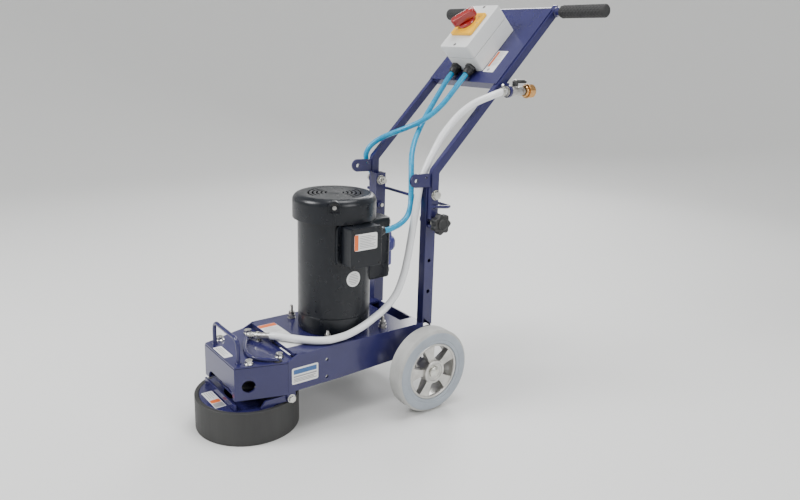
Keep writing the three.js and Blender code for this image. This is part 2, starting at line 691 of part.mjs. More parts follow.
function handleGrip() {
  const outer = turned('x', [[0, 283], [13, 283], [GRIP_RADIUS, 280], [GRIP_RADIUS, 152], [14, 148], [0, 148]],
    [GRIP_S, GRIP_N], 24);
  return cut(outer, bore('x', [140, 279.5], 11, [GRIP_S, GRIP_N], 20));
}

// The sheet between the bars, its lower edge turned down and its upper edge welded to the crossbar.
function crossbarPanel() {
  const plate = box([-126, 126], [148, 404], [GAP, 3.3]);
  const lip = box([-115.4, 115.4], [148, 151], [-18, 2]);
  const weld = box([-115.4, 115.4], [398, 404], [-8, 2]);
  return join(plate, lip, weld, crossbar());
}

function bailRod() {
  const x = BAR_X[1] + GAP + 4;
  const half = [
    [x, 34, 483.5], [x, 58, 481], [x, 80, 478.6], [x - 4, 89, 478], [x - 14, 92, 477.5], [x - 40, 92, 477.5],
  ];
  const mirrored = half.map(([a, y, z]) => [-a, y, z]).reverse();
  return tube([...half, ...mirrored], 4, { sides: 6, steps: 22 });
}

function buildHandleFrame() {
  part('handle_bar_near', 'navy', join(bar(), valveBracket()));
  part('handle_bar_far', 'navy', mirrorX(bar()));
  part('bail_rod', 'navy', bailRod());
  part('crossbar_panel', 'navy', crossbarPanel(), slope);
  part('handle_grip_near', 'rubber', handleGrip(), slope);
  part('handle_grip_far', 'rubber', mirrorX(handleGrip()), slope);
}

// ---------- switch box ----------
function switchBoxBase() {
  const shell = plateZ(roundedRectangle([-50, 50], BOX_S, 6), [3.6, BOX_SEAM_N - GAP], 2);
  const inside = plateZ(roundedRectangle([-47, 47], [BOX_S[0] + 3, BOX_S[1] - 3], 4), [6.6, BOX_SEAM_N + 2], 1);
  const ports = glandPlaces().map((x) => rod('y', [BOX_S[0] - 5, BOX_S[0] + 5], 8, [x, GLAND_N], 16));
  return cut(shell, inside, ...ports);
}

function switchBoxLid() {
  const shell = plateZ(roundedRectangle([-50, 50], BOX_S, 6), [BOX_SEAM_N, BOX_TOP_N], 2);
  const opening = roundedRectangle([-47, 47], [BOX_S[0] + 3, BOX_S[1] - 3], 4);
  const inside = plateZ(opening, [BOX_SEAM_N - 2, BOX_TOP_N - 3], 1);
  return cut(shell, inside, bore('z', [70, 95], 8, [0, SWITCH_S]));
}

function switchPlate() {
  const square = roundedRectangle([-36.5, 36.5], [SWITCH_S - 36.5, SWITCH_S + 36.5], 4);
  const plate = plateZ(square, [BOX_TOP_N + GAP, 93.8], 2);
  const collar = rod('z', [93, 96.5], 27, [0, SWITCH_S], 24);
  return cut(join(plate, collar), bore('z', [80, 100], 5, [0, SWITCH_S]));
}

// A round boss with a raised bar handle set at 45 degrees, on a shaft into the box.
function switchKnob() {
  const boss = rod('z', [96.8, 104], 24, [0, 0], 24, 22);
  const grip = plateZ(roundedRectangle([-33, 33], [-11, 11], 9), [103, 124], 4);
  const shaft = rod('z', [30, 98], 5, [0, 0], 16);
  return join(boss, grip, shaft).rotateZ(Math.PI / 4).translate(0, SWITCH_S, 0);
}

function glandPlaces() {
  return [-33.5, 19.6];
}

const GLAND_END_S = 158.5;

function switchGland(x) {
  const nut = rod('y', [BOX_S[0] - 9, BOX_S[0] - GAP], 13.6, [x, GLAND_N], 6);
  const neck = rod('y', [BOX_S[0] - 1, BOX_S[0] + 8], 7.6, [x, GLAND_N], 16);
  const dome = rod('y', [GLAND_END_S, BOX_S[0] - 8], 9, [x, GLAND_N], 16, 12);
  return join(nut, neck, dome);
}

function buildSwitchBox() {
  part('switch_box_base', 'boxGrey', switchBoxBase(), slope);
  part('switch_box_lid', 'boxGrey', switchBoxLid(), slope);
  part('switch_plate', 'yellow', switchPlate(), slope);
  part('switch_knob', 'red', switchKnob(), slope);
  const [motorGland, supplyGland] = glandPlaces().map(switchGland);
  part('switch_gland_motor', 'black', motorGland, slope);
  part('switch_gland_supply', 'black', supplyGland, slope);
}

// ---------- water line ----------
const BARB_START = [-46, -352.7, 186];
const BARB_END = [8, -324.5, 197];

function valveBody() {
  const thread = rod('y', [238, 255], 9.3, VALVE_AXIS, 12);
  const collar = rod('y', [238, 242.7], 13, VALVE_AXIS, 6);
  const lockNut = rod('y', [251.3, 257], 14, VALVE_AXIS, 6);
  const body = rod('y', [256, 292], 11, VALVE_AXIS, 16);
  const tail = rod('y', [290, 324], 9.3, VALVE_AXIS, 12);
  const stem = rod('z', [751.8, 760.8], 6.5, [VALVE_AXIS[0], 271], 16);
  return join(thread, collar, lockNut, body, tail, stem);
}

function valveLever() {
  const [x] = VALVE_AXIS;
  const boss = rod('z', [761.1, 769.8], 7, [x, 271], 16);
  const blade = box([x - 5, x + 5], [262, 308], [767.8, 772.8]);
  return join(boss, blade);
}

function swivelNut() {
  const hexagon = rod('y', [310.5, 329], 18.5, VALVE_AXIS, 6);
  const neck = rod('y', [302, 311], 14, VALVE_AXIS, 16);
  return cut(join(hexagon, neck), bore('y', [298, 333], 9.3, VALVE_AXIS));
}

function barbFitting() {
  const along = (t) => BARB_START.map((value, i) => value + t * (BARB_END[i] - value));
  const hexagon = strut(BARB_START, along(0.36), 8);
  const ferrule = strut(along(0.34), along(0.995), 7.6, 12, 7.2);
  const elbow = new THREE.SphereGeometry(7.8, 10, 6).translate(...BARB_START);
  return join(hexagon, ferrule, elbow);
}

const WATER_PIPE = [
  [-42, -361.5, 183], [-36, -366, 182.3], [-22.7, -373.5, 182], [1.6, -386, 182], [28, -394.5, 182],
  [51.5, -397, 182],
  [71, -391, 182], [86, -378, 182], [94, -367, 182.3], [98, -358, 181], [99, -353, 171], [99, -352, 150],
];

const WATER_HOSE = [
  [145, 237.6, 747.8], [145, 231, 747.8], [144.5, 216, 744.5], [143.5, 199, 739.5], [139, 181, 733], [130, 163, 724],
  [119, 146, 711], [109, 127, 692.5], [102, 106, 668], [100, 83, 642], [100, 63, 612], [100, 46, 584],
  [100, 31, 555], [100, 20, 522], [100, 13, 480], [100, 6, 439], [99, -0.5, 395], [98, -7, 355], [98, -18, 314],
  [98, -39, 270], [98, -72, 239], [98, -100, 224], [99, -127, 212], [100.5, -155, 203.5], [102.5, -182, 199],
  [103.5, -208, 198.2], [102, -228, 198], [94, -246.5, 198], [80.7, -264, 198], [63.6, -280.5, 198],
  [45, -296, 198.3], [28, -311, 199], [15.3, -320.7, 198.5], [8.3, -324.3, 197.1],
];

const MOTOR_CABLE = [
  [-33.5, 221, 782.8], [-33.5, 209, 770.6], [-36.1, 193.2, 746.6], [-38.9, 171.4, 713.7], [-37.4, 143.4, 675.9],
  [-24.7, 113.3, 644.4], [-1, 80.6, 617.5], [25.5, 52.5, 589.4], [52, 32.2, 549.1], [65, 23.5, 506], [76, 14, 477],
  [85, -1, 456.5], [93, -26, 443], [98, -52, 436.5], [100, -68, 434.2], [100, MOTOR_GLAND_END + GAP, 434],
];

const PLUG = { centre: [-140, 97], z: [262, 375] };

const SUPPLY_CABLE = [
  [19.6, 221, 782.8], [19.6, 209, 770.6], [18, 186.8, 745.4], [8.7, 160.4, 710.7], [-0.3, 132.2, 684.2],
  [-15.8, 109.7, 665.4], [-46.4, 86.9, 646.4], [-82.8, 70.5, 630], [-107.9, 61.2, 618.2], [-128, 50, 604],
  [-137, 37, 588], [-141.5, 31, 569.5], [-144, 36, 551], [-147, 46.5, 533.5], [-150, 58, 516], [-151, 67, 498],
  [-150, 75, 478], [-148.5, 81, 456], [-148, 82.5, 436], [-147.5, 84, 418], [-145, 88.5, 402], [-141.5, 94.5, 389],
  [-140, 97, 381.5], [...PLUG.centre, PLUG.z[1] + GAP],
];

function supplyPlug() {
  const [low, high] = PLUG.z;
  const profile = [
    [0, high], [9, high], [13, high - 7], [17, high - 15], [19, high - 33], [25, high - 37], [28, high - 45],
    [28, high - 61], [25, high - 69], [19, high - 73], [19, low], [16, low], [16, low + 26], [0, low + 26],
  ];
  const body = turned('z', profile, PLUG.centre, 14);
  const pins = [0, 1, 2].map((i) => {
    const angle = (i / 3) * 2 * Math.PI;
    const place = [PLUG.centre[0] + 11 * Math.cos(angle), PLUG.centre[1] + 11 * Math.sin(angle)];
    return rod('z', [low + 4, low + 30], 2.6, place, 6);
  });
  return join(body, ...pins);
}

function buildWaterLine() {
  part('valve_body', 'steel', valveBody());
  part('valve_lever', 'black', valveLever());
  part('swivel_nut', 'brass', swivelNut());
  part('water_hose', 'hose', tube(WATER_HOSE, HOSE_RADIUS, { steps: 36 }));
  part('barb_fitting', 'steel', barbFitting());
  part('water_pipe', 'navy', tube(WATER_PIPE, 4.5, { sides: 6, steps: 20 }));
}

function buildCables() {
  part('motor_cable', 'cable', tube(MOTOR_CABLE, CABLE_RADIUS, { steps: 22 }));
  part('supply_cable', 'cable', tube(SUPPLY_CABLE, CABLE_RADIUS, { steps: 28 }));
  part('supply_plug', 'plug', supplyPlug());
}

buildChassis();
buildUprights();
buildWheels();
buildMotor();
buildDrive();
buildHandleFrame();
buildSwitchBox();
buildWaterLine();
buildCables();

export default grinder;
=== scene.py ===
import json
import math

import bmesh
import bpy
from mathutils import Matrix, Vector


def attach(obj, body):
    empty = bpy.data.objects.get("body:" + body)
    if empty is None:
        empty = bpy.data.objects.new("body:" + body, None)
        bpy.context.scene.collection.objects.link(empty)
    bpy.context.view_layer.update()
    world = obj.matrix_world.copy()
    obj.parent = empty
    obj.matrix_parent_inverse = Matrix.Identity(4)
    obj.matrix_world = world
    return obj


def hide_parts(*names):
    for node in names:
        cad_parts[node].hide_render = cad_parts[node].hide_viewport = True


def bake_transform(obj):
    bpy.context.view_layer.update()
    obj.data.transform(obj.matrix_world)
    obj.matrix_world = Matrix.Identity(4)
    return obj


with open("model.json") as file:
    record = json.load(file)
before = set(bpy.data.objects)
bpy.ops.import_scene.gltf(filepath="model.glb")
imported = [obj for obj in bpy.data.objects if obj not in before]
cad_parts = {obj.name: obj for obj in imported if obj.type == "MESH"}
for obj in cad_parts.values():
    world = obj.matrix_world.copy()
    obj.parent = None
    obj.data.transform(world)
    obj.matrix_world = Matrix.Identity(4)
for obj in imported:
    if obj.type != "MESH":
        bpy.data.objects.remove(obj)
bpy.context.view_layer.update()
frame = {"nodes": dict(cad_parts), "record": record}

# The builders below work in millimetres, with y measured from the wheel axle.
# TO_ROW turns that into the row frame, in metres.
AXLE_Y = 33
TO_ROW = Matrix.Scale(0.001, 4) @ Matrix.Translation((0, AXLE_Y, 0))
SLOPE_ANGLE = math.radians(45.45)
SLOPE = Matrix.Translation((0, 122, 658)) @ Matrix.Rotation(SLOPE_ANGLE, 4, "X")
MIRROR = Matrix.Scale(-1, 4, (1, 0, 0))

SIDES = (("near", Matrix.Identity(4)), ("far", MIRROR))

# Axes, levels and radii that several pieces share.
HEAD = (0, -382.5)
MOTOR = (0, -152)
MOTOR_R = 86
WHEEL_X = 183
WHEEL_Z = 101.6
AXLE_BORE = 10.3
SHAFT_BORE = 12.3
SPOKE_TURN = 0.227
DECK_TOP = 188
NOSE_TOP = 177
HINGE = (45, 510)
LOCK = (45, 445)
VALVE = (145, 747.8)
GRIP = (409, -12)
SWITCH_S = 259
LID_SCREWS = ((1, 324.3), (1, 192.4))
SHROUD_PIVOT = (-328, 86)
PLUG = (-140, 97)
PIPE_R = 4.5
HOSE_R = 8.75
CABLE_R = 6.75

behaviour = frame["record"]["behaviour"]
BODY_OF = {node: body for body, nodes in behaviour["bodies"].items() for node in nodes}


def put(thing):
    """Adds an object to the scene."""
    bpy.context.scene.collection.objects.link(thing)


# ---------- camera ----------
CAMERA_PLACE = (1.39493, -0.98085, 0.84783)
CAMERA_ANGLES = (52.88, 14.06, 1.65)


def make_camera():
    azimuth, pitch, roll = (math.radians(a) for a in CAMERA_ANGLES)
    across = math.cos(pitch)
    forward = Vector((-math.sin(azimuth) * across, math.cos(azimuth) * across, -math.sin(pitch)))
    level = Vector((math.cos(azimuth), math.sin(azimuth), 0))
    upright = level.cross(forward)
    right = math.cos(roll) * level + math.sin(roll) * upright
    up = math.cos(roll) * upright - math.sin(roll) * level
    data = bpy.data.cameras.new("camera")
    data.lens = 32.19
    data.sensor_width = 36
    data.shift_y = -0.03125
    data.clip_start = 0.05
    data.clip_end = 50
    camera = bpy.data.objects.new("camera", data)
    turn = Matrix((right, up, -forward)).transposed().to_4x4()
    camera.matrix_world = Matrix.Translation(CAMERA_PLACE) @ turn
    put(camera)
    bpy.context.scene.camera = camera


make_camera()


# ---------- materials ----------
def link(tree, source, target):
    tree.links.new(source, target)


def shader_node(tree, kind, **values):
    """A new node of that kind, with its inputs set to the values."""
    made = tree.nodes.new("ShaderNode" + kind)
    for name, value in values.items():
        made.inputs[name].default_value = value
    return made


def new_finish(name):
    """A new material, its node tree and its shader."""
    material = bpy.data.materials.new(name)
    material.use_nodes = True
    return material, material.node_tree, material.node_tree.nodes["Principled BSDF"]


def noise(tree, scale, detail, stretch):
    where = shader_node(tree, "TexCoord")
    mapping = shader_node(tree, "Mapping", Scale=stretch)
    texture = shader_node(tree, "TexNoise", Scale=scale, Detail=detail)
    link(tree, where.outputs["Object"], mapping.inputs["Vector"])
    link(tree, mapping.outputs["Vector"], texture.inputs["Vector"])
    return texture.outputs["Fac"]


def remap(tree, value, low, high, to_low, to_high):
    node = shader_node(tree, "MapRange")
    for socket, number in zip(node.inputs[1:5], (low, high, to_low, to_high)):
        socket.default_value = number
    link(tree, value, node.inputs["Value"])
    return node.outputs["Result"]


def math_node(tree, operation, *values):
    node = shader_node(tree, "Math")
    node.operation = operation
    for socket, value in zip(node.inputs, values):
        if isinstance(value, (int, float)):
            socket.default_value = value
        else:
            link(tree, value, socket)
    return node.outputs["Value"]


def mix(tree, factor, first, second):
    node = shader_node(tree, "Mix")
    node.data_type = "RGBA"
    link(tree, factor, node.inputs["Factor"])
    for name, value in (("A", first), ("B", second)):
        socket = next(s for s in node.inputs if s.name == name and s.type == "RGBA")
        if isinstance(value, tuple):
            socket.default_value = (*value, 1)
        else:
            link(tree, value, socket)
    return next(s for s in node.outputs if s.type == "RGBA")


def surface(
    name, color, tint, roughness, metallic=0.0, patches=18, span=0.1, grain=(900, 0.2, 0.0002),
    stretch=(1, 1, 1), **sockets):
    """A finish whose colour drifts from color to tint in soft patches, with uneven gloss and a fine grain."""
    material, tree, shader = new_finish(name)
    shader.inputs["Metallic"].default_value = metallic
    for socket, value in sockets.items():
        shader.inputs[socket.replace("_", " ")].default_value = value
    soft = noise(tree, patches, 4.0, stretch)
    tone = mix(tree, remap(tree, soft, 0.3, 0.7, 0.0, 1.0), color, tint)
    link(tree, tone, shader.inputs["Base Color"])
    gloss = noise(tree, patches * 3.7, 5.0, stretch)
    uneven = remap(tree, gloss, 0.3, 0.7, roughness - span / 2, roughness + span / 2)
    link(tree, uneven, shader.inputs["Roughness"])
    scale, strength, depth = grain
    bump = shader_node(tree, "Bump", Strength=strength, Distance=depth)
    link(tree, noise(tree, scale, 2.0, stretch), bump.inputs["Height"])
    link(tree, bump.outputs["Normal"], shader.inputs["Normal"])
    return material


def braid(material, color, thread, around, along, depth):
    """Lays two crossing sets of threads over a tube's surface, from its own UV map."""
    tree = material.node_tree
    shader = tree.nodes["Principled BSDF"]
    uv = shader_node(tree, "UVMap")
    uv.uv_map = "around"
    parts = shader_node(tree, "SeparateXYZ")
    link(tree, uv.outputs["UV"], parts.inputs["Vector"])
    turn = math_node(tree, "MULTIPLY", parts.outputs["X"], 2 * math.pi * around)
    run = math_node(tree, "MULTIPLY", parts.outputs["Y"], 2 * math.pi * along)
    waves = [math_node(tree, "SINE", math_node(tree, sign, turn, run)) for sign in ("ADD", "SUBTRACT")]
    height = remap(tree, math_node(tree, "MAXIMUM", *waves), 0.55, 0.95, 0.0, 1.0)
    link(tree, mix(tree, height, color, thread), shader.inputs["Base Color"])
    bump = next(n for n in tree.nodes if n.type == "BUMP")
    weave = shader_node(tree, "Bump", Strength=0.35, Distance=depth)
    link(tree, height, weave.inputs["Height"])
    link(tree, bump.outputs["Normal"], weave.inputs["Normal"])
    link(tree, weave.outputs["Normal"], shader.inputs["Normal"])
    return material


navy = surface(
    "navy powder coat", (0.017, 0.016, 0.08), (0.021, 0.02, 0.093), 0.24, span=0.05,
    grain=(420, 0.03, 0.0003), Specular_IOR_Level=0.42, Coat_Weight=0.3, Coat_Roughness=0.1)
motor_paint = surface(
    "motor enamel", (0.0045, 0.006, 0.0095), (0.0065, 0.008, 0.012), 0.3, span=0.08,
    grain=(300, 0.05, 0.0004), Specular_IOR_Level=0.38)
zinc = surface(
    "zinc plate", (0.66, 0.66, 0.63), (0.56, 0.55, 0.5), 0.24, 1.0, patches=120, span=0.14,
    grain=(1500, 0.15, 0.0001))
dull_zinc = surface(
    "dull steel", (0.5, 0.49, 0.47), (0.36, 0.35, 0.34), 0.38, 1.0, patches=90, span=0.16,
    grain=(1300, 0.25, 0.0001))
dark_steel = surface(
    "ground steel", (0.42, 0.42, 0.43), (0.3, 0.3, 0.31), 0.34, 1.0, patches=60, span=0.2,
    grain=(700, 0.3, 0.0002))
dark_screw = surface("blacked steel", (0.05, 0.05, 0.052), (0.03, 0.03, 0.031), 0.35, 0.7, patches=120)
iron = surface(
    "machined iron", (0.17, 0.17, 0.18), (0.1, 0.1, 0.105), 0.5, 0.8, patches=50, span=0.2,
    grain=(500, 0.4, 0.0003))
alloy = surface(
    "cast alloy", (0.62, 0.61, 0.58), (0.44, 0.43, 0.41), 0.36, 0.9, patches=45, span=0.16,
    grain=(380, 0.35, 0.0004))
segment_metal = surface(
    "sintered metal", (0.42, 0.33, 0.2), (0.28, 0.24, 0.19), 0.6, 0.7, patches=160, span=0.2,
    grain=(2200, 0.9, 0.0004))
copper = surface(
    "varnished copper", (0.5, 0.22, 0.09), (0.38, 0.15, 0.06), 0.35, 0.7, patches=80,
    grain=(500, 0.8, 0.0008), stretch=(1, 1, 0.05))
brass = surface(
    "machined brass", (0.72, 0.42, 0.17), (0.6, 0.31, 0.11), 0.27, 1.0, patches=140, span=0.14,
    grain=(1200, 0.25, 0.0001))
ring_rubber = surface(
    "skirt rubber", (0.024, 0.024, 0.024), (0.035, 0.035, 0.034), 0.6, patches=10, span=0.14,
    grain=(240, 0.35, 0.0008), stretch=(1, 1, 0.12))
black_rubber = surface(
    "black rubber", (0.014, 0.014, 0.015), (0.022, 0.022, 0.022), 0.66, patches=60, grain=(800, 0.4, 0.0003))
tread_rubber = surface(
    "tread rubber", (0.43, 0.43, 0.415), (0.34, 0.34, 0.33), 0.68, patches=26, span=0.1,
    grain=(600, 0.5, 0.0004))
wall_rubber = surface(
    "sidewall rubber", (0.33, 0.365, 0.41), (0.28, 0.31, 0.35), 0.5, patches=22, span=0.12,
    grain=(700, 0.3, 0.0003))
black_plastic = surface(
    "black plastic", (0.012, 0.012, 0.013), (0.02, 0.02, 0.021), 0.42, patches=90, grain=(1400, 0.35, 0.0002))
box_plastic = surface(
    "grey plastic", (0.66, 0.67, 0.67), (0.62, 0.63, 0.625), 0.42, patches=14, span=0.08,
    grain=(1100, 0.18, 0.0002))
yellow_plastic = surface(
    "yellow plastic", (0.9, 0.48, 0.008), (0.84, 0.43, 0.008), 0.34, patches=60, span=0.08,
    grain=(1200, 0.12, 0.0001))
red_plastic = surface(
    "red plastic", (0.3, 0.006, 0.005), (0.24, 0.005, 0.004), 0.22, patches=70, span=0.08,
    grain=(900, 0.08, 0.0001), Coat_Weight=0.6, Coat_Roughness=0.08)
cable_jacket = surface(
    "cable jacket", (0.003, 0.25, 0.47), (0.006, 0.3, 0.53), 0.28, patches=30, span=0.08,
    grain=(500, 0.08, 0.0003), Specular_IOR_Level=0.45)
plug_plastic = surface(
    "plug plastic", (0.02, 0.022, 0.16), (0.028, 0.03, 0.19), 0.35, patches=50, grain=(1000, 0.2, 0.0002))
hose_vinyl = braid(
    surface(
        "braided vinyl", (0.8, 0.81, 0.83), (0.74, 0.75, 0.77), 0.24, patches=30, span=0.08,
        grain=(400, 0.1, 0.0003), Coat_Weight=0.4, Coat_Roughness=0.1),
    (0.74, 0.75, 0.77), (0.88, 0.885, 0.9), 12, 170, 0.0003)
FILM_GRAIN = (900, 0.08, 0.0001)
label_white = surface(
    "label film", (0.78, 0.78, 0.77), (0.73, 0.73, 0.72), 0.36, patches=60, span=0.08, grain=FILM_GRAIN)
label_orange = surface(
    "label orange", (0.78, 0.16, 0.03), (0.7, 0.13, 0.025), 0.36, patches=60, grain=FILM_GRAIN)
label_grey = surface("label print", (0.3, 0.3, 0.31), (0.24, 0.24, 0.25), 0.4, patches=300, grain=FILM_GRAIN)
label_blue = surface("label blue", (0.04, 0.12, 0.3), (0.035, 0.1, 0.26), 0.36, patches=60, grain=FILM_GRAIN)


# ---------- shapes ----------
def rounded(points, radius, steps=4, closed=True):
    """The same outline with each corner turned into a small curve."""
    points = [Vector(p) for p in points]
    out = []
    for i, corner in enumerate(points):
        if not closed and i in (0, len(points) - 1):
            out.append(corner)
            continue
        before, after = points[i - 1] - corner, points[(i + 1) % len(points)] - corner
        reach = min(radius, before.length * 0.45, after.length * 0.45)
        if reach < 1e-4 or corner.x < 1e-6 and not closed:
            out.append(corner)
            continue
        start, end = corner + before.normalized() * reach, corner + after.normalized() * reach
        for k in range(steps + 1):
            t = k / steps
            out.append((1 - t) ** 2 * start + 2 * t * (1 - t) * corner + t * t * end)
    return [tuple(p) for p in out]


def rect(x0, x1, y0, y1, radius=0.0, steps=5):
    corners = [(x0, y0), (x1, y0), (x1, y1), (x0, y1)]
    return rounded(corners, radius, steps) if radius else corners


AXES = {
    "x": lambda a, b, h: Vector((h, a, b)),
    "y": lambda a, b, h: Vector((a, h, b)),
    "z": lambda a, b, h: Vector((a, b, h)),
}


def skin(rings, loop_rings):
    """Faces between successive rings of vertices, where a ring of one vertex is a point."""
    bm = bmesh.new()
    made = [[bm.verts.new(p) for p in ring] for ring in rings]
    pairs = list(zip(made, made[1:])) + ([(made[-1], made[0])] if loop_rings else [])
    for a, b in pairs:
        count = max(len(a), len(b))
        if count == 1:
            continue
        for k in range(count):
            j = (k + 1) % count
            corners = [a[k % len(a)], a[j % len(a)], b[j % len(b)], b[k % len(b)]]
            corners = [v for i, v in enumerate(corners) if v not in corners[:i]]
            bm.faces.new(corners)
    bmesh.ops.recalc_face_normals(bm, faces=bm.faces)
    return bm


def lathe(profile, axis="z", centre=(0, 0), segments=64, shape=None):
    """Turns a profile of (radius, height) points, which starts and ends on the axis or closes on itself."""
    on_axis = profile[0][0] < 1e-6 and profile[-1][0] < 1e-6
    rings = []
    for r, h in profile:
        count = 1 if r < 1e-6 else segments
        ring = []
        for k in range(count):
            angle = 2 * math.pi * k / count
            reach = shape(r, h, angle) if shape else r
            a, b = centre[0] + reach * math.cos(angle), centre[1] + reach * math.sin(angle)
            ring.append(AXES[axis](a, b, h))
        rings.append(ring)
    return skin(rings, not on_axis)


def turned(profile, radius, steps, axis="z", centre=(0, 0), segments=64, shape=None):
    """A lathe piece whose corners are rounded first, apart from the ones on the axis."""
    return lathe(rounded(profile, radius, steps, closed=profile[0][0] > 0), axis, centre, segments, shape)


def prism(outline, span, axis="z", edge=0.6, segments=2):
    """An outline pushed through a span, with its rims rounded by edge."""
    bm = bmesh.new()
    low, high = ([bm.verts.new(AXES[axis](a, b, h)) for a, b in outline] for h in span)
    bm.faces.new(low)
    bm.faces.new(high[::-1])
    for k in range(len(outline)):
        j = (k + 1) % len(outline)
        bm.faces.new([low[k], high[k], high[j], low[j]])
    bmesh.ops.recalc_face_normals(bm, faces=bm.faces)
    if edge:
        sharp = [e for e in bm.edges if e.calc_face_angle(0) > math.radians(38)]
        bmesh.ops.bevel(
            bm, geom=sharp, offset=edge, segments=segments, profile=0.6, affect="EDGES", clamp_overlap=True)
    return bm


def box(x, y, z, edge=0.6, segments=2):
    return prism(rect(*x, *y), z, "z", edge, segments)


def arc(centre, radius, start, end, steps):
    """Points along an arc, both ends included."""
    angles = [start + (end - start) * k / steps for k in range(steps + 1)]
    return [(centre[0] + radius * math.cos(a), centre[1] + radius * math.sin(a)) for a in angles]


def polygon(sides, radius, centre, turn=0.0):
    return arc(centre, radius, turn, turn + 2 * math.pi, sides)[:-1]


def disc(radius, span, axis="z", centre=(0, 0), edge=0.5, segments=32, bore=0.0):
    low, high = sorted(span)
    corners = [(bore, low), (radius, low), (radius, high), (bore, high)]
    return turned(corners, edge, 3, axis, centre, segments)


def merged(*solids):
    out = bmesh.new()
    for bm in solids:
        mesh = bpy.data.meshes.new("part")
        bm.to_mesh(mesh)
        out.from_mesh(mesh)
        bpy.data.meshes.remove(mesh)
        bm.free()
    return out


def painted(bm, index):
    for face in bm.faces:
        face.material_index = index
    return bm


def moved(bm, matrix):
    bmesh.ops.transform(bm, matrix=matrix, verts=bm.verts)
    if matrix.determinant() < 0:
        bmesh.ops.reverse_faces(bm, faces=bm.faces)
    return bm


def towards(start, end):
    """A matrix that takes the z axis to the line from start towards end."""
    direction = Vector(end) - Vector(start)
    return Matrix.Translation(start) @ direction.to_track_quat("Z", "Y").to_matrix().to_4x4()


def cut(bm, cutter):
    objects = []
    for solid in (bm, cutter):
        mesh = bpy.data.meshes.new("solid")
        solid.to_mesh(mesh)
        solid.free()
        objects.append(bpy.data.objects.new("solid", mesh))
        put(objects[-1])
    body, tool = objects
    modifier = body.modifiers.new("cut", "BOOLEAN")
    modifier.operation = "DIFFERENCE"
    modifier.object = tool
    modifier.solver = "EXACT"
    out = bmesh.new()
    out.from_object(body, bpy.context.evaluated_depsgraph_get())
    for o in objects:
        mesh = o.data
        bpy.data.objects.remove(o)
        bpy.data.meshes.remove(mesh)
    return out


def spline(points, gap=4.0):
    """A smooth line through the points (centripetal Catmull-Rom), with a point about every gap."""
    points = [Vector(p) for p in points]
    ends = [2 * points[0] - points[1], *points, 2 * points[-1] - points[-2]]
    line = []
    for p0, p1, p2, p3 in zip(ends, ends[1:], ends[2:], ends[3:]):
        knots = [0.0]
        for a, b in ((p0, p1), (p1, p2), (p2, p3)):
            knots.append(knots[-1] + math.sqrt((b - a).length))
        t0, t1, t2, t3 = knots
        count = max(1, round((p2 - p1).length / gap))
        for k in range(count):
            t = t1 + (t2 - t1) * k / count
            a1 = p0.lerp(p1, (t - t0) / (t1 - t0))
            a2 = p1.lerp(p2, (t - t1) / (t2 - t1))
            a3 = p2.lerp(p3, (t - t2) / (t3 - t2))
            b1 = a1.lerp(a2, (t - t0) / (t2 - t0))
            b2 = a2.lerp(a3, (t - t1) / (t3 - t1))
            line.append(b1.lerp(b2, (t - t1) / (t2 - t1)))
    return [*line, points[-1]]


def sweep(line, radius, sides=20):
    """A round tube along a line, closed at both ends, with a UV map of turn and run."""
    last = len(line) - 1
    tangents = [(line[min(i + 1, last)] - line[max(i - 1, 0)]).normalized() for i in range(last + 1)]
    side = tangents[0].orthogonal().normalized()
    rings, run, runs = [], 0.0, []
    for i, (point, tangent) in enumerate(zip(line, tangents)):
        side = (side - side.dot(tangent) * tangent).normalized()
        other = tangent.cross(side)
        run += (point - line[i - 1]).length if i else 0.0
        runs.append(run)
        rings.append([point + a * side + b * other for a, b in polygon(sides, radius, (0, 0))])
    bm = bmesh.new()
    uv = bm.loops.layers.uv.new("around")
    made = [[bm.verts.new(p) for p in ring] for ring in rings]
    for i in range(len(made) - 1):
        for k in range(sides):
            j = (k + 1) % sides
            face = bm.faces.new([made[i][k], made[i][j], made[i + 1][j], made[i + 1][k]])
            marks = ((k, i), (k + 1, i), (k + 1, i + 1), (k, i + 1))
            for loop, (turn, ring) in zip(face.loops, marks):
                loop[uv].uv = (turn / sides, runs[ring] / 1000)
    bm.faces.new(made[0][::-1])
    bm.faces.new(made[-1])
    bmesh.ops.recalc_face_normals(bm, faces=bm.faces)
    return bm


# ---------- pieces ----------
def make(name, bm, materials, at=None, smooth=33):
    if at is not None:
        moved(bm, at)
    moved(bm, TO_ROW)
    mesh = bpy.data.meshes.new(name)
    bm.to_mesh(mesh)
    bm.free()
    for material in materials if isinstance(materials, (list, tuple)) else [materials]:
        mesh.materials.append(material)
    mesh.shade_smooth()
    mesh.set_sharp_from_angle(angle=math.radians(smooth))
    piece = bpy.data.objects.new(name, mesh)
    put(piece)
    piece.modifiers.new("normals", "WEIGHTED_NORMAL").keep_sharp = True
    return piece


def extra(name, body, bm, materials, at=None, smooth=33):
    piece = make(name, bm, materials, at, smooth)
    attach(piece, body)
    return piece


def stand_in(node, bm, materials, at=None, smooth=33):
    """A finer piece in place of a CAD node."""
    piece = extra(node + "_form", BODY_OF[node], bm, materials, at, smooth)
    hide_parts(node)
    return piece


def dress(node, material, edge=0.8):
    """Keeps a CAD node, with its rims rounded and a finish of its own."""
    piece = frame["nodes"][node]
    piece.data.materials.clear()
    piece.data.materials.append(material)
    piece.data.shade_smooth()
    piece.modifiers.new("weld", "WELD").merge_threshold = 0.00001
    flat = piece.modifiers.new("flat", "DECIMATE")
    flat.decimate_type = "DISSOLVE"
    flat.angle_limit = math.radians(1)
    bevel = piece.modifiers.new("rims", "BEVEL")
    bevel.width = edge / 1000
    bevel.segments = 2
    bevel.limit_method = "ANGLE"
    bevel.angle_limit = math.radians(38)
    bevel.miter_outer = "MITER_ARC"
    bevel.use_clamp_overlap = True
    piece.modifiers.new("normals", "WEIGHTED_NORMAL").keep_sharp = True


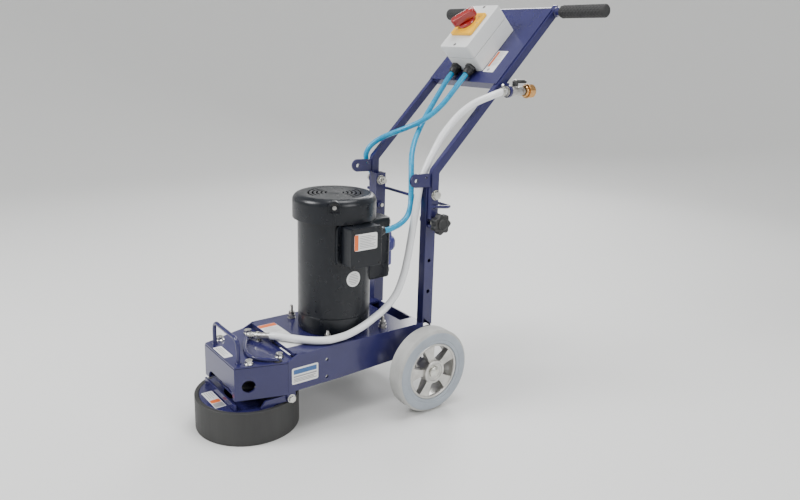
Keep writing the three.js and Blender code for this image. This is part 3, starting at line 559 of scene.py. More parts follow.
def hexagon(span, axis, centre, radius, edge=0.9, turn=0.0):
    return prism(polygon(6, radius, centre, turn), span, axis, edge, 2)


# ---------- hose and cables ----------
WATER_HOSE = [
    (145, 237.6, 747.8), (145, 231, 747.8), (144.5, 216, 744.5), (143.5, 199, 739.5), (139, 181, 733),
    (130, 163, 724), (119, 146, 711), (109, 127, 692.5), (102, 106, 668), (100, 83, 642), (100, 63, 612),
    (100, 46, 584), (100, 31, 555), (100, 20, 522), (100, 13, 480), (100, 6, 439), (99, -0.5, 395),
    (98, -7, 355), (98, -18, 314), (98, -39, 270), (98, -72, 239), (98, -100, 224), (99, -127, 212),
    (100.5, -155, 203.5), (102.5, -182, 199), (103.5, -208, 198.2), (102, -228, 198), (94, -246.5, 198),
    (80.7, -264, 198), (63.6, -280.5, 198), (45, -296, 198.3), (28, -311, 199), (15.3, -320.7, 198.5),
    (8.3, -324.3, 197.1)]
MOTOR_CABLE = [
    (-33.5, 221, 782.8), (-33.5, 209, 770.6), (-36.1, 193.2, 746.6), (-38.9, 171.4, 713.7),
    (-37.4, 143.4, 675.9), (-24.7, 113.3, 644.4), (-1, 80.6, 617.5), (25.5, 52.5, 589.4), (52, 32.2, 549.1),
    (65, 23.5, 506), (76, 14, 477), (85, -1, 456.5), (93, -26, 443), (98, -52, 436.5), (100, -68, 434.2),
    (100, -79.4, 434)]
SUPPLY_CABLE = [
    (19.6, 221, 782.8), (19.6, 209, 770.6), (18, 186.8, 745.4), (8.7, 160.4, 710.7), (-0.3, 132.2, 684.2),
    (-15.8, 109.7, 665.4), (-46.4, 86.9, 646.4), (-82.8, 70.5, 630), (-107.9, 61.2, 618.2), (-128, 50, 604),
    (-137, 37, 588), (-141.5, 31, 569.5), (-144, 36, 551), (-147, 46.5, 533.5), (-150, 58, 516),
    (-151, 67, 498), (-150, 75, 478), (-148.5, 81, 456), (-148, 82.5, 436), (-147.5, 84, 418),
    (-145, 88.5, 402), (-141.5, 94.5, 389), (-140, 97, 381.5), (-140, 97, 375.3)]


def supply_plug():
    profile = rounded([
        (0, 375), (9, 375), (13, 368), (17, 360), (19, 342), (25, 338), (28, 330), (28, 314), (25, 306),
        (19, 302), (19, 262), (16, 262), (16, 288), (0, 288)], 1.6, 3, closed=False)

    def ribbed(r, h, angle):
        return r + (0.7 * max(0.0, math.cos(18 * angle)) if r > 26 else 0.0)

    body = lathe(profile, "z", PLUG, 144, ribbed)
    pins = [painted(disc(2.2, (266, 290), "z", place, 0.9, 16), 1) for place in polygon(3, 8, PLUG)]
    return stand_in("supply_plug", merged(body, *pins), [plug_plastic, brass])


def cord(node, points, radius, material, blend, **facts):
    """A cord from the handle to the body of the machine, swept as a fixed round tube through its points in
    place of the CAD node.
    """
    line = spline(points, 4.0)
    piece = make(node + "_form", sweep(line, radius), material)
    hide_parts(node)
    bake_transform(piece)


plug = supply_plug()
cord(
    "water_hose", WATER_HOSE, HOSE_R, hose_vinyl, ((100, 0, 400), (100, 90, 640)), far_end="object",
    stiffness="stiff")
cord("motor_cable", MOTOR_CABLE, CABLE_R, cable_jacket, ((85, 5, 460), (0, 82, 617)), far_end="object")
cord(
    "supply_cable", SUPPLY_CABLE, CABLE_R, cable_jacket, ((-140, 60, 470), (-100, 64, 620)), far_end="plug",
    with_pieces=[plug])


def hose_clamp(name, body, start, end, radius, width=9.0, turn=0.0):
    """A worm-drive band round a hose, with its screw housing."""
    band = disc(radius, (-width / 2, width / 2), "z", (0, 0), 0.4, 48, bore=radius - 0.9)
    slots = [
        moved(
            box((radius - 0.2, radius + 0.25), (-0.5, 0.5), (-3, 3), 0.1, 1),
            Matrix.Rotation(0.12 * k + 0.9, 4, "Z"))
        for k in range(18)]
    housing = box((radius - 0.5, radius + 4.6), (-6.5, 6.5), (-4.6, 4.6), 1.4, 3)
    screw = hexagon((-10.5, -6), "y", (radius + 2, 0), 4.1, 0.5)
    bm = moved(merged(band, *slots, housing, screw), Matrix.Rotation(turn, 4, "Z"))
    return extra(name, body, bm, zinc, towards(start, end))


hose_clamp("hose_clamp_valve", "handle", (145, 229.5, 747.6), (145, 237.5, 747.8), 9.9, turn=2.2)

# ---------- chassis and nose ----------
dress("chassis_frame", navy, 0.9)
dress("deck_plate", navy, 0.9)
dress("nose_housing", navy, 1.4)
dress("spindle_housing", iron, 0.5)
dress("spindle_bearings", dark_steel, 0.3)
dress("upright_near", navy, 1.2)
dress("upright_far", navy, 1.2)


NOSE_FRONT = -448
NOSE_SHOULDER = -338
NOSE_FLARE = 35 / 110
HANDLE_Y = -430
HANDLE_X = 63


def nose_half(y):
    """Half of the cover's width, 0.8 mm inside the housing's tapered walls."""
    return 80 + NOSE_FLARE * (y - NOSE_FRONT) - 0.8 * math.hypot(1, NOSE_FLARE)


def nose_cover():
    front = NOSE_FRONT + 0.8
    half = [
        (nose_half(front), front), (nose_half(NOSE_SHOULDER), NOSE_SHOULDER), (109.7, NOSE_SHOULDER),
        (109.7, -318.3)]
    plate = prism(half + [(-x, y) for x, y in half[::-1]], (173, NOSE_TOP), "z", 0.9)
    leg = [(HANDLE_X, 175), (HANDLE_X, 192), (HANDLE_X, 212), (60, 224), (50, 230.5), (30, 230.5)]
    path = [(-x, HANDLE_Y, z) for x, z in leg] + [(x, HANDLE_Y, z) for x, z in leg[::-1]]
    handle = sweep(spline(path, 3), PIPE_R)
    welds = [disc(7.2, (176.5, 179.2), "z", (x, HANDLE_Y), 1.3, 32) for x in (-HANDLE_X, HANDLE_X)]
    return merged(plate, handle, *welds)


def flange_bolt(x, y):
    flange = turned([(0, 177.3), (10.2, 177.3), (10.2, 178.3), (8, 180), (0, 180)], 0.4, 2, "z", (x, y), 40)
    head = hexagon((179.5, 186.2), "z", (x, y), 8.8, 0.9, 0.3)
    cap = turned(
        [(0, 186), (6.4, 186), (6.4, 186.8), (4.6, 186.8), (4, 186.5), (0, 186.5)], 0.3, 2, "z", (x, y), 32)
    return merged(flange, head, cap)


stand_in("nose_cover_plate", nose_cover(), navy)
for i, place in enumerate([(77, -412), (-77, -412), (80, -341), (-80, -341)], 1):
    stand_in(f"cover_bolt_{i}", flange_bolt(*place), zinc)


def stud(x, y, top):
    """A motor stud with its washer, nut and lock nut."""
    foot, pitch = 172, 1.25
    threads = [(0, foot)]
    for k in range(int((top - 1 - foot) / pitch)):
        threads += [(4.0, foot + pitch * k), (3.55, foot + 0.62 + pitch * k)]
    threads += [(3.4, top - 0.6), (2.6, top), (0, top)]
    shaft = lathe(threads, "z", (x, y), 20)
    washer = disc(10, (188.2, 190), "z", (x, y), 0.4, 36)
    nut = hexagon((190, 196.8), "z", (x, y), 8.4)
    collar = disc(9.4, (196.8, 198.3), "z", (x, y), 0.4, 36)
    lock = hexagon((198.3, 205), "z", (x, y), 8.2, 0.9, 0.5)
    return merged(shaft, washer, nut, collar, lock)


for i, (x, y, top) in enumerate([(86, -221, 214), (-86, -221, 222), (86, -67, 218), (-86, -67, 218)], 1):
    extra(f"motor_stud_{i}", "root", stud(x, y, top), dull_zinc)


def axle_ends():
    half = [
        (10, 0), (10, 115.4), (15, 115.4), (15, 161), (10, 161), (10, 206), (15, 206), (14, 210), (7, 213)]
    profile = [(0, -213), *[(r, -x) for r, x in half[1:][::-1]], *half, (0, 213)]
    return turned(profile, 0.8, 2, "x", (0, WHEEL_Z), 48)


stand_in("axle", axle_ends(), zinc)
for side, turn in SIDES:
    bolt = merged(
        hexagon((110.3, 117.2), "x", SHROUD_PIVOT, 8.3, 0.9, 0.4),
        disc(9.6, (109.9, 111.4), "x", SHROUD_PIVOT, 0.3, 32))
    extra(f"shroud_bolt_{side}", "root", bolt, zinc, turn)

# ---------- water line ----------
WATER_PIPE = [
    (-42, -361.5, 183), (-36, -366, 182.3), (-22.7, -373.5, 182), (1.6, -386, 182), (28, -394.5, 182),
    (51.5, -397, 182), (71, -391, 182), (86, -378, 182), (94, -367, 182.3), (98, -358, 181), (99, -353, 171),
    (99, -352, 150)]
BARB = ((-46, -352.7, 186), (8, -324.5, 197))


def barb_fitting():
    start, end = (Vector(p) for p in BARB)
    total = (end - start).length
    nut = hexagon((0, 0.3 * total), "z", (0, 0), 8)
    neck = disc(6.2, (-2, 0.4 * total), "z", (0, 0), 0.6, 32)
    sleeve = turned([
        (0, 0.34 * total), (7.4, 0.34 * total), (7.6, 0.5 * total), (7.2, 0.6 * total), (7.5, 0.7 * total),
        (7.1, 0.8 * total), (7.4, 0.9 * total), (7.0, 0.995 * total), (0, 0.995 * total)], 1.2, 3, "z",
        (0, 0), 40)
    elbow = turned([(0, -7.4), (5.4, -6.6), (7.4, -2), (7.4, 2.5), (5.6, 5), (0, 5.4)], 2, 4, "z", (0, 0), 32)
    return moved(merged(nut, neck, painted(sleeve, 1), elbow), towards(*BARB))


stand_in("water_pipe", sweep(spline(WATER_PIPE, 3), PIPE_R), navy)
stand_in("barb_fitting", barb_fitting(), [zinc, dull_zinc])
hose_clamp("hose_clamp_barb", "root", (-24.5, -341.4, 190.4), BARB[1], 8.6, 8, turn=-1.2)
extra(
    "pipe_grommet", "root",
    turned(
        [(4.6, 172), (7.9, 172), (7.9, 176.8), (9.4, 177), (9.4, 179), (4.6, 179)], 0.6, 3, "z",
        (98.6, -354.6), 40),
    black_rubber)


def valve_body():
    hose_end = turned([
        (0, 236), (7, 236), (7, 240), (13, 240), (13, 242.7), (9.3, 242.7), (9.3, 257), (11, 259),
        (11.4, 268), (11, 274), (11.4, 284), (10, 291), (8.6, 294), (8.6, 304), (9.3, 305), (9.3, 324),
        (0, 324)], 0.8, 3, "y", VALVE, 56)
    collar = hexagon((238, 242.7), "y", VALVE, 13, 0.8)
    lock_nut = hexagon((251.3, 257), "y", VALVE, 14, 1.0, 0.2)
    flats = hexagon((276, 290), "y", VALVE, 12.2, 1.2)
    stem = disc(6.5, (751.8, 760.8), "z", (VALVE[0], 271), 0.6, 32)
    return merged(hose_end, collar, lock_nut, flats, stem)


def valve_lever():
    x = VALVE[0]
    boss = turned([(0, 761.1), (7, 761.1), (7.4, 765), (6.6, 769.8), (0, 769.8)], 0.8, 3, "z", (x, 271), 36)
    wing = rounded([
        (x - 4, 263), (x + 4, 263), (x + 6, 278), (x + 6.8, 302), (x + 3, 308), (x - 3, 308), (x - 6.8, 302),
        (x - 6, 278)], 4, 4)
    blade = prism(wing, (767.4, 772.8), "z", 1.4, 3)
    rib = box((x - 1.6, x + 1.6), (268, 304), (772, 775.3), 1.0, 2)
    nut = hexagon((772.8, 776.3), "z", (x, 271), 4.4, 0.6)
    return merged(boss, blade, rib, painted(nut, 1))


def swivel_nut():
    def knurled(r, h, angle):
        return r + (0.35 * math.cos(30 * angle) if r > 17 else 0.0)

    hexed = hexagon((311, 327.5), "y", VALVE, 18.5, 1.6, 0.15)
    lip = turned(
        [(9.6, 326), (16.6, 326), (16.6, 329), (14, 329), (13.4, 321), (9.6, 321)], 0.5, 3, "y", VALVE, 64)
    ring = turned([(9.6, 309.5), (17.3, 309.5), (17.3, 314), (9.6, 314)], 0.6, 3, "y", VALVE, 180, knurled)
    neck = turned([(9.6, 302), (12, 302), (14, 305), (14, 311), (9.6, 311)], 0.8, 3, "y", VALVE, 56)
    return merged(cut(hexed, disc(13.4, (318, 330), "y", VALVE, 0, 48)), lip, ring, neck)


stand_in("valve_body", valve_body(), dull_zinc)
stand_in("valve_lever", valve_lever(), [black_plastic, zinc])
stand_in("swivel_nut", swivel_nut(), brass)


# ---------- uprights and hinges ----------
def hinge_bolt():
    shank = disc(6, (72, 134), "x", HINGE, 0.8, 32)
    washer = disc(12, (130.3, 132.4), "x", HINGE, 0.5, 48)
    head = hexagon((132.4, 139.4), "x", HINGE, 11, 1.1, 0.25)
    mark = turned([(0, 139), (8, 139), (8, 140), (0, 140)], 0.4, 2, "x", HINGE, 40)
    inner = disc(12, (91.0, 92.7), "x", HINGE, 0.4, 48)
    nut = hexagon((81.5, 91), "x", HINGE, 11, 1.1, 0.1)
    return merged(shank, washer, head, mark, inner, nut)


def star_knob():
    points = [2 * math.pi * k / 112 for k in range(112)]
    reach = [23.4 + 2.4 * math.cos(7 * a) for a in points]
    star = [(LOCK[0] + r * math.cos(a), LOCK[1] + r * math.sin(a)) for r, a in zip(reach, points)]
    head = prism(star, (144.5, 162), "x", 3.0, 4)
    hub = turned(
        [(0, 133.5), (13.6, 133.5), (14, 137), (15.5, 142), (17, 146), (0, 146)], 1.2, 3, "x", LOCK, 48)
    cap = turned(
        [(0, 161.5), (15, 161.5), (14.6, 164), (12, 165), (10.5, 163.4), (0, 163)], 0.7, 3, "x", LOCK, 48)
    stud = painted(disc(5, (83, 150), "x", LOCK, 0.8, 24), 1)
    washer = painted(disc(12, (130.3, 133.6), "x", LOCK, 0.4, 40), 1)
    return merged(head, hub, cap, stud, washer)


for side, turn in SIDES:
    stand_in(f"hinge_bolt_{side}", hinge_bolt(), zinc, turn)
    stand_in(f"star_knob_{side}", star_knob(), [black_plastic, zinc], turn)


def bail_rod():
    half = [
        (134.3, 34, 483.5), (134.3, 58, 481), (134.3, 80, 478.6), (130.3, 89, 478), (120.3, 92, 477.5),
        (94.3, 92, 477.5)]
    return sweep(spline(half + [(-x, y, z) for x, y, z in half[::-1]], 4), 4, 16)


stand_in("bail_rod", bail_rod(), navy)


# ---------- wheels ----------
def tyre():
    half = [
        (69.4, 22), (71, 23.2), (75.5, 23.4), (76.4, 22.6), (78.4, 22.6), (79.3, 23.6), (94, 24), (101.6, 18)]
    outer = rounded(half + [(r, -x) for r, x in half[::-1]], 2.2, 3)
    bm = lathe(outer, "x", (0, WHEEL_Z), 128)
    for face in bm.faces:
        middle = face.calc_center_median()
        reach = math.hypot(middle.y, middle.z - WHEEL_Z)
        face.material_index = 0 if reach > 95.5 else 1
    return bm


def rim():
    centre = (0, WHEEL_Z)
    band = turned(
        [(60.6, -15), (66, -18.5), (69, -20.5), (69, 21), (66.6, 22), (63.2, 20.6), (61.6, 16), (60.6, 8)],
        0.8, 3, "x", centre, 128)
    hub = turned([
        (AXLE_BORE, -21.6), (20, -21.6), (21, -16), (27, -10), (28.6, -4), (28.6, 24.4), (27.2, 26),
        (22.4, 26), (21.4, 23.4), (18.6, 23.4), (18, 22.4), (AXLE_BORE, 22.4)], 0.8, 3, "x", centre, 96)
    bearing = painted(
        turned([(AXLE_BORE, 22), (16.4, 22), (16.4, 22.9), (AXLE_BORE, 22.9)], 0.3, 2, "x", centre, 64), 1)
    blade = rounded(
        [(-8.5, 24), (-9, 36), (-14, 55), (-17, 64), (17, 64), (14, 55), (9, 36), (8.5, 24)], 3, 4)
    web = rounded([(-5.5, 24), (-6, 62), (6, 62), (5.5, 24)], 1.5, 3)
    spokes = []
    for k in range(5):
        turn = Matrix.Translation((0, 0, WHEEL_Z)) @ Matrix.Rotation(2 * math.pi * k / 5 + SPOKE_TURN, 4, "X")
        spokes.append(moved(prism(blade, (8, 19.6), "x", 2.0, 4), turn))
        spokes.append(moved(prism(web, (-5, 10), "x", 1.6, 3), turn))
    return merged(band, hub, bearing, *spokes)


for side, turn in SIDES:
    place = turn @ Matrix.Translation((WHEEL_X, 0, 0))
    stand_in(f"tyre_{side}", tyre(), [tread_rubber, wall_rubber], place)
    stand_in(f"rim_{side}", rim(), [alloy, zinc], place)


# ---------- motor ----------
def end_bell():
    outer = rounded([
        (SHAFT_BORE, 188.3), (84, 188.3), (MOTOR_R, 190.5), (MOTOR_R, 229), (85.2, 229.7), (79, 229.7),
        (79, 205), (32, 205), (32, 222), (SHAFT_BORE, 222)], 1.0, 3)
    return lathe(outer, "z", MOTOR, 128)


def motor_shell():
    outer = rounded([
        (80, 230), (85.2, 230), (MOTOR_R, 230.8), (MOTOR_R, 456.7), (SHAFT_BORE, 456.7), (SHAFT_BORE, 436),
        (32, 436), (32, 449), (80, 449)], 0.6, 2)
    return lathe(outer, "z", MOTOR, 128)


SLOT_TURN = 0.92
NOTCH_TURN = math.radians(-31.6)


def fan_cover():
    shoulder = 17
    outer = arc((98 - shoulder, 513.5 - shoulder), shoulder, 0, math.pi / 2, 8)
    inner = arc((96 - shoulder, 511.3 - shoulder), shoulder - 1, math.pi / 2, 0, 8)
    profile = [
        (0, 510.3), *inner, (96, 457.3), (97.6, 457.3), (98, 458), *outer, (70, 513.5), (67, 512.7),
        (20, 512.7), (17, 513.5), (0, 513.5)]
    shell = lathe(profile, "z", MOTOR, 144)
    slots = []
    for side in (0, math.pi):
        for radius, reach in ((21, 0.5), (31, 0.62), (41, 0.7), (51, 0.74), (61, 0.76)):
            start, end = SLOT_TURN + side - reach, SLOT_TURN + side + reach
            outline = [*arc(MOTOR, radius + 1.9, start, end, 16), *arc(MOTOR, radius - 1.9, end, start, 16)]
            slots.append(prism(outline, (505, 516), "z", 0))
    return cut(shell, merged(*slots))


def cover_notch():
    """The small arch on the shoulder of the fan cover, with its screw, and the ridge below it."""
    def arch(radius, foot):
        return [(radius, foot), *arc((0, 500), radius, 0, math.pi, 16), (-radius, foot)]

    frame_arch = prism([*arch(13, 486), *arch(9.6, 486)[::-1]], (80, 101), "x", 0.9, 2)
    sill = box((84, 101), (-13, 13), (483, 486.8), 0.9, 2)
    recess = painted(prism(arch(9.8, 486.6), (80, 97), "x", 0), 2)
    screw_place = (0, 497)
    screw = merged(
        disc(4.8, (97, 98.4), "x", screw_place, 0.5, 24), hexagon((98.2, 99.8), "x", screw_place, 3, 0.4))
    ridge = box((97, 99.4), (-1.5, 1.5), (458, 484), 0.7, 2)
    turn = Matrix.Translation((*MOTOR, 0)) @ Matrix.Rotation(NOTCH_TURN, 4, "Z")
    return moved(merged(frame_arch, sill, recess, painted(screw, 1), ridge), turn)


stand_in("motor_end_bell", end_bell(), motor_paint)
stand_in("motor_frame", motor_shell(), motor_paint)
stand_in("fan_cover", fan_cover(), motor_paint)
extra("fan_cover_notch", "root", cover_notch(), [motor_paint, dull_zinc, black_rubber])
dress("motor_stator", copper, 0.6)
dress("motor_rotor", dark_steel, 0.6)
dress("cooling_fan", black_plastic, 0.4)


def screw_head(axis, centre, level, radius=3.2, lift=1.6):
    """A pan-head screw standing on a face, with a crossed recess."""
    high = level + lift
    head = turned(
        [(0, level - 0.4), (radius, level - 0.4), (radius, level + 0.6), (radius * 0.6, high), (0, high)],
        0.5, 3, axis, centre, 24)
    a, b = centre
    bars = [
        prism(rect(a - w, a + w, b - v, b + v), (high - 0.7, high + 0.5), axis, 0) for w,
        v in ((radius * 0.62, 0.45), (0.45, radius * 0.62))]
    return cut(cut(head, bars[0]), bars[1])


def terminal_box():
    body = prism(rect(-186, -106, 365, 455, 5), (60, 117), "x", 1.6, 3)
    flange = prism(rounded([(-196, 361), (-95, 361), (-95, 456), (-196, 456)], 12, 6), (74, 84), "x", 1.6, 3)
    screws = [screw_head("x", place, 84, 2.8) for place in ((-190.5, 374), (-190.5, 412))]
    return merged(body, flange, *screws)


def terminal_lid():
    plate = prism(rect(-187, -105, 364, 456, 5), (117.3, 128), "x", 1.8, 3)
    corners = [(y, z) for y in (-181, -111) for z in (370, 450)]
    return merged(plate, *[painted(screw_head("x", c, 128, 2.9), 1) for c in corners])


def capacitor_cover():
    shell = prism(rect(5, 60, -95, -28, 14, 7), (303, 452), "z", 6, 5)
    lugs = [box((14, 52), (-31, -26), (h, h + 12), 1.2, 2) for h in (312, 432)]
    screws = [painted(screw_head("y", (33, h + 6), -26.4), 1) for h in (312, 432)]
    return merged(shell, *lugs, *screws)


def gland(start, end, nut_radius, neck, tip, nut_length):
    """A cable gland from its nut at start to its sealing dome at end."""
    total = (Vector(end) - Vector(start)).length
    nut = hexagon((0, nut_length), "z", (0, 0), nut_radius, 1.2)
    dome_top = nut_length + (total - nut_length) * 0.45
    dome_nut = hexagon((nut_length + 0.6, dome_top), "z", (0, 0), neck + 1.6, 1.0, 0.5)
    dome = turned(
        [(0, nut_length - 1), (neck, nut_length - 1), (neck, total * 0.62), (tip, total), (0, total)], 1.6, 4,
        "z", (0, 0), 48)
    return moved(merged(nut, dome_nut, dome), towards(start, end))


stand_in("terminal_box_base", terminal_box(), motor_paint)
stand_in("terminal_box_lid", terminal_lid(), [motor_paint, dark_screw])
stand_in("capacitor_cover", capacitor_cover(), [motor_paint, dull_zinc])
stand_in("motor_cable_gland", gland((100, -105.7, 434), (100, -79.7, 434), 13, 11, 8.5, 8.7), black_plastic)

# ---------- drive and grinding head ----------
dress("motor_pulley", iron, 0.4)
dress("spindle_pulley", iron, 0.4)
dress("drive_belt", black_rubber, 0.5)
dress("spindle_shaft", dark_steel, 0.5)
dress("grinding_disc", iron, 0.6)
dress("diamond_segments", segment_metal, 0.5)


def shroud_carrier():
    solids = [
        turned([(52, 70.5), (106.6, 70.5), (106.6, 76.5), (52, 76.5)], 0.8, 3, "z", HEAD, 128),
        box((-82, 82), (-450, -445), (78.6, 91.5), 1.0, 3)]
    wall = (99.8, 104.8)
    for _, turn in SIDES:
        ear = prism(rounded([(-400, 78.6), (-316, 78.6), (-316, 94), (-388, 94)], 3, 3), wall, "x", 0.9)
        foot = box(wall, (-397, -368), (74, 80), 0.6)
        front_foot = box((30, 60), (-450, -445), (74, 80), 0.6)
        solids += [moved(piece, turn) for piece in (ear, foot, front_foot)]
    return merged(*solids)


stand_in("shroud_carrier", shroud_carrier(), navy)
stand_in(
    "shroud_ring", turned([(107, 0), (117, 0), (117, 77.4), (107, 77.4)], 1.6, 4, "z", HEAD, 160), ring_rubber)


# ---------- handle ----------
def on_slope(s, n):
    point = SLOPE @ Vector((0, s, n))
    return point.y, point.z


def handle_bar(bracket):
    """A bent bar with its lock slot and the eared plate on its front, and for one side the valve's ring."""
    bent = rounded([
        (40, 428), (50, 428), (56, 434), (56, 560), on_slope(-113, -21), on_slope(422, -21), on_slope(422, 0),
        on_slope(-122, 0), (34, 564), (34, 434)], 3, 2)
    beam = prism(bent, (115.8, 130), "x", 2.2, 3)
    through, slot_r = (110, 140), 7
    holes = merged(
        disc(slot_r, through, "x", LOCK, 0, 40), disc(6.2, through, "x", HINGE, 0, 32),
        disc(8, through, "x", on_slope(*GRIP), 0, 40))
    beam = cut(cut(beam, box(through, (30, LOCK[0]), (LOCK[1] - slot_r, LOCK[1] + slot_r), 0)), holes)
    bow = arc((-8.3, 547.3), 16.2, math.pi / 2, 3 * math.pi / 2, 20)
    ear = prism([(36, 561), *bow, (36, 529.5)], (119, 125), "x", 0.9)
    ear_holes = merged(disc(5.2, through, "x", (-8.3, 547), 0, 40), disc(3, through, "x", (20.5, 553), 0, 24))
    ear = cut(ear, ear_holes)
    seam = sweep(spline([(122, 33.6, z) for z in (532, 545, 559)], 4), 2.6, 12)
    if not bracket:
        return merged(beam, ear, seam)
    ring = disc(15, (243, 251), "y", VALVE, 1.0, 64, bore=9.4)
    strap = cut(
        box((120, 146), (244, 250), (VALVE[1], VALVE[1] + 20), 0.9), disc(11, (240, 254), "y", VALVE, 0, 32))
    return merged(beam, ear, seam, ring, strap)


def crossbar_panel():
    plate = prism(rect(-126, 126, 148, 404, 2), (0.3, 3.3), "z", 0.7)
    lip = box((-115.4, 115.4), (148, 151), (-18, 2), 0.7)
    weld = box((-115.4, 115.4), (398, 404), (-8, 2), 1.5)
    half = [(11, 0), (11, 115.5), (8, 115.5), (8, 130.3), (11, 130.3), (11, 279)]
    profile = [(0, -279), *[(r, -x) for r, x in half[1:][::-1]], *half, (0, 279)]
    bar = turned(profile, 0.8, 2, "x", GRIP, 48)
    beads = [
        turned(
            [(8.2, sign * 130.3), (13.5, sign * 130.3), (11.2, sign * 134), (8.2, sign * 134)], 0.9, 3, "x",
            GRIP, 40)
        for sign in (1, -1)]
    return merged(plate, lip, weld, bar, *beads)


def grip():
    def checkered(r, h, angle):
        if r < 15.5 or h < 156 or h > 274:
            return r
        wave = max(math.sin(9 * angle + h * 0.62), math.sin(9 * angle - h * 0.62))
        return r - 0.9 + 0.9 * max(0.0, wave) ** 0.6

    rows = [(16, 156 + 118 * k / 96) for k in range(97)]
    profile = [
        (0, 147), (14.4, 147), (15, 150), (16.2, 152), (16.2, 155), *rows, (16, 276), (15.6, 279.6),
        (13, 282.6), (9, 283), (0, 282.6)]
    return lathe(profile, "x", GRIP, 108, checkered)


stand_in("handle_bar_near", handle_bar(True), navy)
stand_in("handle_bar_far", handle_bar(False), navy, MIRROR)
stand_in("crossbar_panel", crossbar_panel(), navy, SLOPE)
for side, turn in SIDES:
    stand_in(f"handle_grip_{side}", grip(), black_rubber, SLOPE @ turn, smooth=50)


# ---------- switch box ----------
SWITCH_OUTLINE = rect(-50, 50, 184, 330.5, 6)


def switch_lid():
    shell = prism(SWITCH_OUTLINE, (46.6, 85.5), "z", 1.8, 4)
    lid = cut(shell, merged(*[disc(4.6, (81.5, 88), "z", p, 0.0, 32) for p in LID_SCREWS]))
    screws = [painted(screw_head("z", p, 81.9, 4, 1.8), 1) for p in LID_SCREWS]
    return merged(lid, *screws)


def switch_plate():
    half = 36.5
    plate = prism(rect(-half, half, SWITCH_S - half, SWITCH_S + half, 4), (85.8, 93.4), "z", 1.2, 3)
    collar = turned([(5.4, 93), (27, 93), (27, 96.5), (5.4, 96.5)], 0.8, 3, "z", (0, SWITCH_S), 64)
    marks = [
        painted(
            moved(
                box((-1.1, 1.1), (30, 34.5), (93.3, 93.7), 0), Matrix.Translation((0, SWITCH_S, 0))
                @ Matrix.Rotation(math.radians(a), 4, "Z")),
            1)
        for a in (-90, -45, 0, 135)]
    return merged(plate, collar, *marks)


def switch_knob():
    boss = turned([(0, 96.8), (24, 96.8), (23, 101), (21, 104), (0, 104)], 1.4, 4, "z", (0, 0), 72)
    handle = prism(
        rounded(
            [(-33, -6), (-26, -11.5), (26, -11.5), (33, -6), (33, 6), (26, 11.5), (-26, 11.5), (-33, 6)], 7, 6),
        (103, 124), "z", 4.5, 5)
    pointer = painted(box((20, 31), (-1.2, 1.2), (123.6, 124.4), 0.3, 1), 1)
    shaft = disc(5, (30, 98), "z", (0, 0), 0.5, 24)
    turn = Matrix.Translation((0, SWITCH_S, 0)) @ Matrix.Rotation(math.pi / 4, 4, "Z")
    return moved(merged(boss, handle, pointer, shaft), turn)


stand_in("switch_box_base", prism(SWITCH_OUTLINE, (3.6, 46.0), "z", 1.0), box_plastic, SLOPE)
stand_in("switch_box_lid", switch_lid(), [box_plastic, dull_zinc], SLOPE)
stand_in("switch_plate", switch_plate(), [yellow_plastic, label_grey], SLOPE)
stand_in("switch_knob", switch_knob(), [red_plastic, label_white], SLOPE)
for node, x in (("switch_gland_motor", -33.5), ("switch_gland_supply", 19.6)):
    seal = gland((x, 183.7, 17), (x, 158.5, 17), 15, 12.4, 9.6, 8.7)
    stand_in(node, merged(seal, disc(7.6, (183, 192), "y", (x, 17))), black_plastic, SLOPE)


# ---------- labels ----------
def label(name, body, width, height, at, items, radius=2.0):
    """A printed film: a rounded white sheet in its own x and y, with plain blocks of colour on it."""
    solids = [prism(rect(-width / 2, width / 2, -height / 2, height / 2, radius), (0, 0.3), "z", 0)]
    for index, outline in items:
        solids.append(painted(prism(outline, (0.2, 0.42), "z", 0), index))
    return extra(
        name, body, merged(*solids), [label_white, label_orange, label_grey, label_blue], at)


def print_lines(x0, x1, y0, y1, count, thick=0.45):
    """Grey bars of uneven length that stand for small print."""
    out = []
    for k in range(count):
        y = y0 + (y1 - y0) * (k + 0.5) / count
        end = x1 - (x1 - x0) * (0.0, 0.12, 0.05, 0.3)[k % 4]
        out.append((2, rect(x0, end, y - thick, y + thick)))
    return out


def facing(point, x_axis, y_axis):
    x_axis, y_axis = Vector(x_axis).normalized(), Vector(y_axis).normalized()
    turn = Matrix((x_axis, y_axis, x_axis.cross(y_axis))).transposed().to_4x4()
    return Matrix.Translation(point) @ turn


label(
    "deck_label", "root", 45, 150, facing((-5, -294.5, DECK_TOP), (0, 1, 0), (-1, 0, 0)),
    [
        (1, rect(-22, 22, 58, 74, 1.5)), *print_lines(-19, 19, 20, 54, 8), (2, polygon(24, 6, (-8, 4))),
        (2, polygon(24, 6, (10, -42))), *print_lines(-19, 19, -36, -6, 7)])
label(
    "nose_label", "root", 64, 20, facing((-10, -434, NOSE_TOP), (1, 0, 0), (0, 1, 0)),
    print_lines(-27, 20, -7, 7, 3, 0.8), 1.5)
label(
    "side_label", "root", 66, 38, facing((115, -296, 139), (0, 1, 0), (0, 0, 1)),
    [(3, rect(-29, 29, 4, 15, 2)), (2, rect(-29, 29, -3, 0)), *print_lines(-29, 29, -15, -5, 3, 0.9)], 4)
label(
    "terminal_label", "root", 61, 38, facing((128, -148.5, 423.5), (0, 1, 0), (0, 0, 1)),
    [(1, rect(-30, -20, -18, 18, 2)), *print_lines(-16, 27, -15, 15, 8, 0.6)], 5)
label(
    "panel_label", "handle", 36, 72, SLOPE @ facing((70, 219, 3.3), (1, 0, 0), (0, 1, 0)),
    [
        (1, rect(-15, -8, -18, 33, 1)), *print_lines(-5, 15, -14, 32, 10, 0.5),
        (2, polygon(20, 4.5, (-4, -28)))],
    1.5)
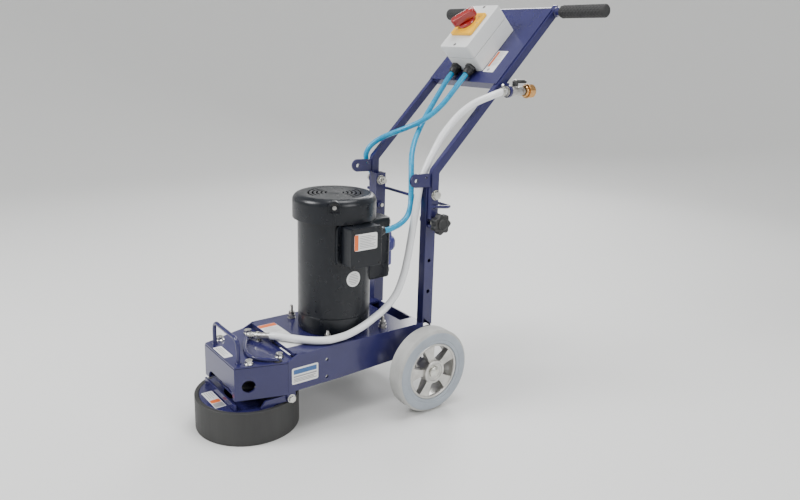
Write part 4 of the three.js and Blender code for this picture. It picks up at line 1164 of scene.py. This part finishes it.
label(
    "shroud_label", "shroud", 82, 25, facing((4, -465, 76.5), (1, 0, 0), (0, 1, 0)),
    [(1, rect(2, 17, -11, 11, 1)), (2, rect(19, 39, -11, 11, 1)), *print_lines(-37, -3, -10, 10, 4, 0.7)], 1.5)


ROUND_LABEL_Z = 325


def round_label():
    """A round film wrapped on the motor's side."""
    rings = []
    for out in (MOTOR_R + 0.05, MOTOR_R + 0.35):
        for r in (0, 8, 13, 17, 18.4):
            ring = []
            for k in range(1 if r == 0 else 48):
                a = 2 * math.pi * k / 48
                around = r * math.cos(a) / MOTOR_R
                x, y = MOTOR[0] + out * math.cos(around), MOTOR[1] + out * math.sin(around)
                ring.append((x, y, ROUND_LABEL_Z + r * math.sin(a)))
            rings.append(ring)
    return skin([rings[k] for k in (0, 1, 2, 3, 4, 9, 8, 7, 6, 5)], False)


def round_print():
    bars = []
    for k, half in enumerate((7, 11, 13, 13.6, 13, 11, 7)):
        z = ROUND_LABEL_Z + (k - 3) * 4
        reach = half / MOTOR_R
        outline = [
            *arc(MOTOR, MOTOR_R + 0.2, -reach, reach, 12), *arc(MOTOR, MOTOR_R + 0.55, reach, -reach, 12)]
        bars.append(prism(outline, (z - 0.7, z + 0.7), "z", 0))
    return merged(*bars)


extra(
    "round_label", "root", merged(round_label(), painted(round_print(), 1)),
    [label_white, label_grey])


# ---------- studio ----------
def plain(name, color, roughness):
    material, _, shader = new_finish(name)
    shader.inputs["Base Color"].default_value = (*color, 1)
    shader.inputs["Roughness"].default_value = roughness
    return material


def studio():
    """A pale floor that curves up into a wall all round, a dim sky and four soft lights."""
    curve = [(0, 0), *arc((3, 2), 2, -math.pi / 2, 0, 16), (5, 6)]
    rings = [[Vector((x, y, z)) for x, y in polygon(96 if r else 1, r, (0, 0))] for r, z in curve]
    bowl = skin(rings, False)
    floor_mesh = bpy.data.meshes.new("floor")
    bowl.to_mesh(floor_mesh)
    bowl.free()
    floor_mesh.shade_smooth()
    floor_mesh.materials.append(plain("pale floor", (0.72, 0.72, 0.71), 0.6))
    floor = bpy.data.objects.new("floor", floor_mesh)
    put(floor)
    world = bpy.data.worlds.new("studio")
    world.use_nodes = True
    sky = world.node_tree.nodes["Background"].inputs
    sky["Color"].default_value = (0.86, 0.88, 0.9, 1)
    sky["Strength"].default_value = 0.6
    bpy.context.scene.world = world
    for name, place, power, size in (
        ("key", (-0.9, -2.4, 2.4), 95, 1.2),
        ("fill", (2.9, 0.5, 1.7), 45, 1.4),
        ("top", (0.2, 0.4, 3.2), 70, 1.6),
        ("back", (-1.8, 2.2, 1.8), 45, 1.2),
    ):
        light = bpy.data.lights.new(name, "AREA")
        light.energy = power
        light.size = size
        lamp = bpy.data.objects.new(name, light)
        lamp.location = place
        lamp.rotation_euler = (Vector((0, 0, 0.4)) - Vector(place)).to_track_quat("-Z", "Y").to_euler()
        put(lamp)


studio()
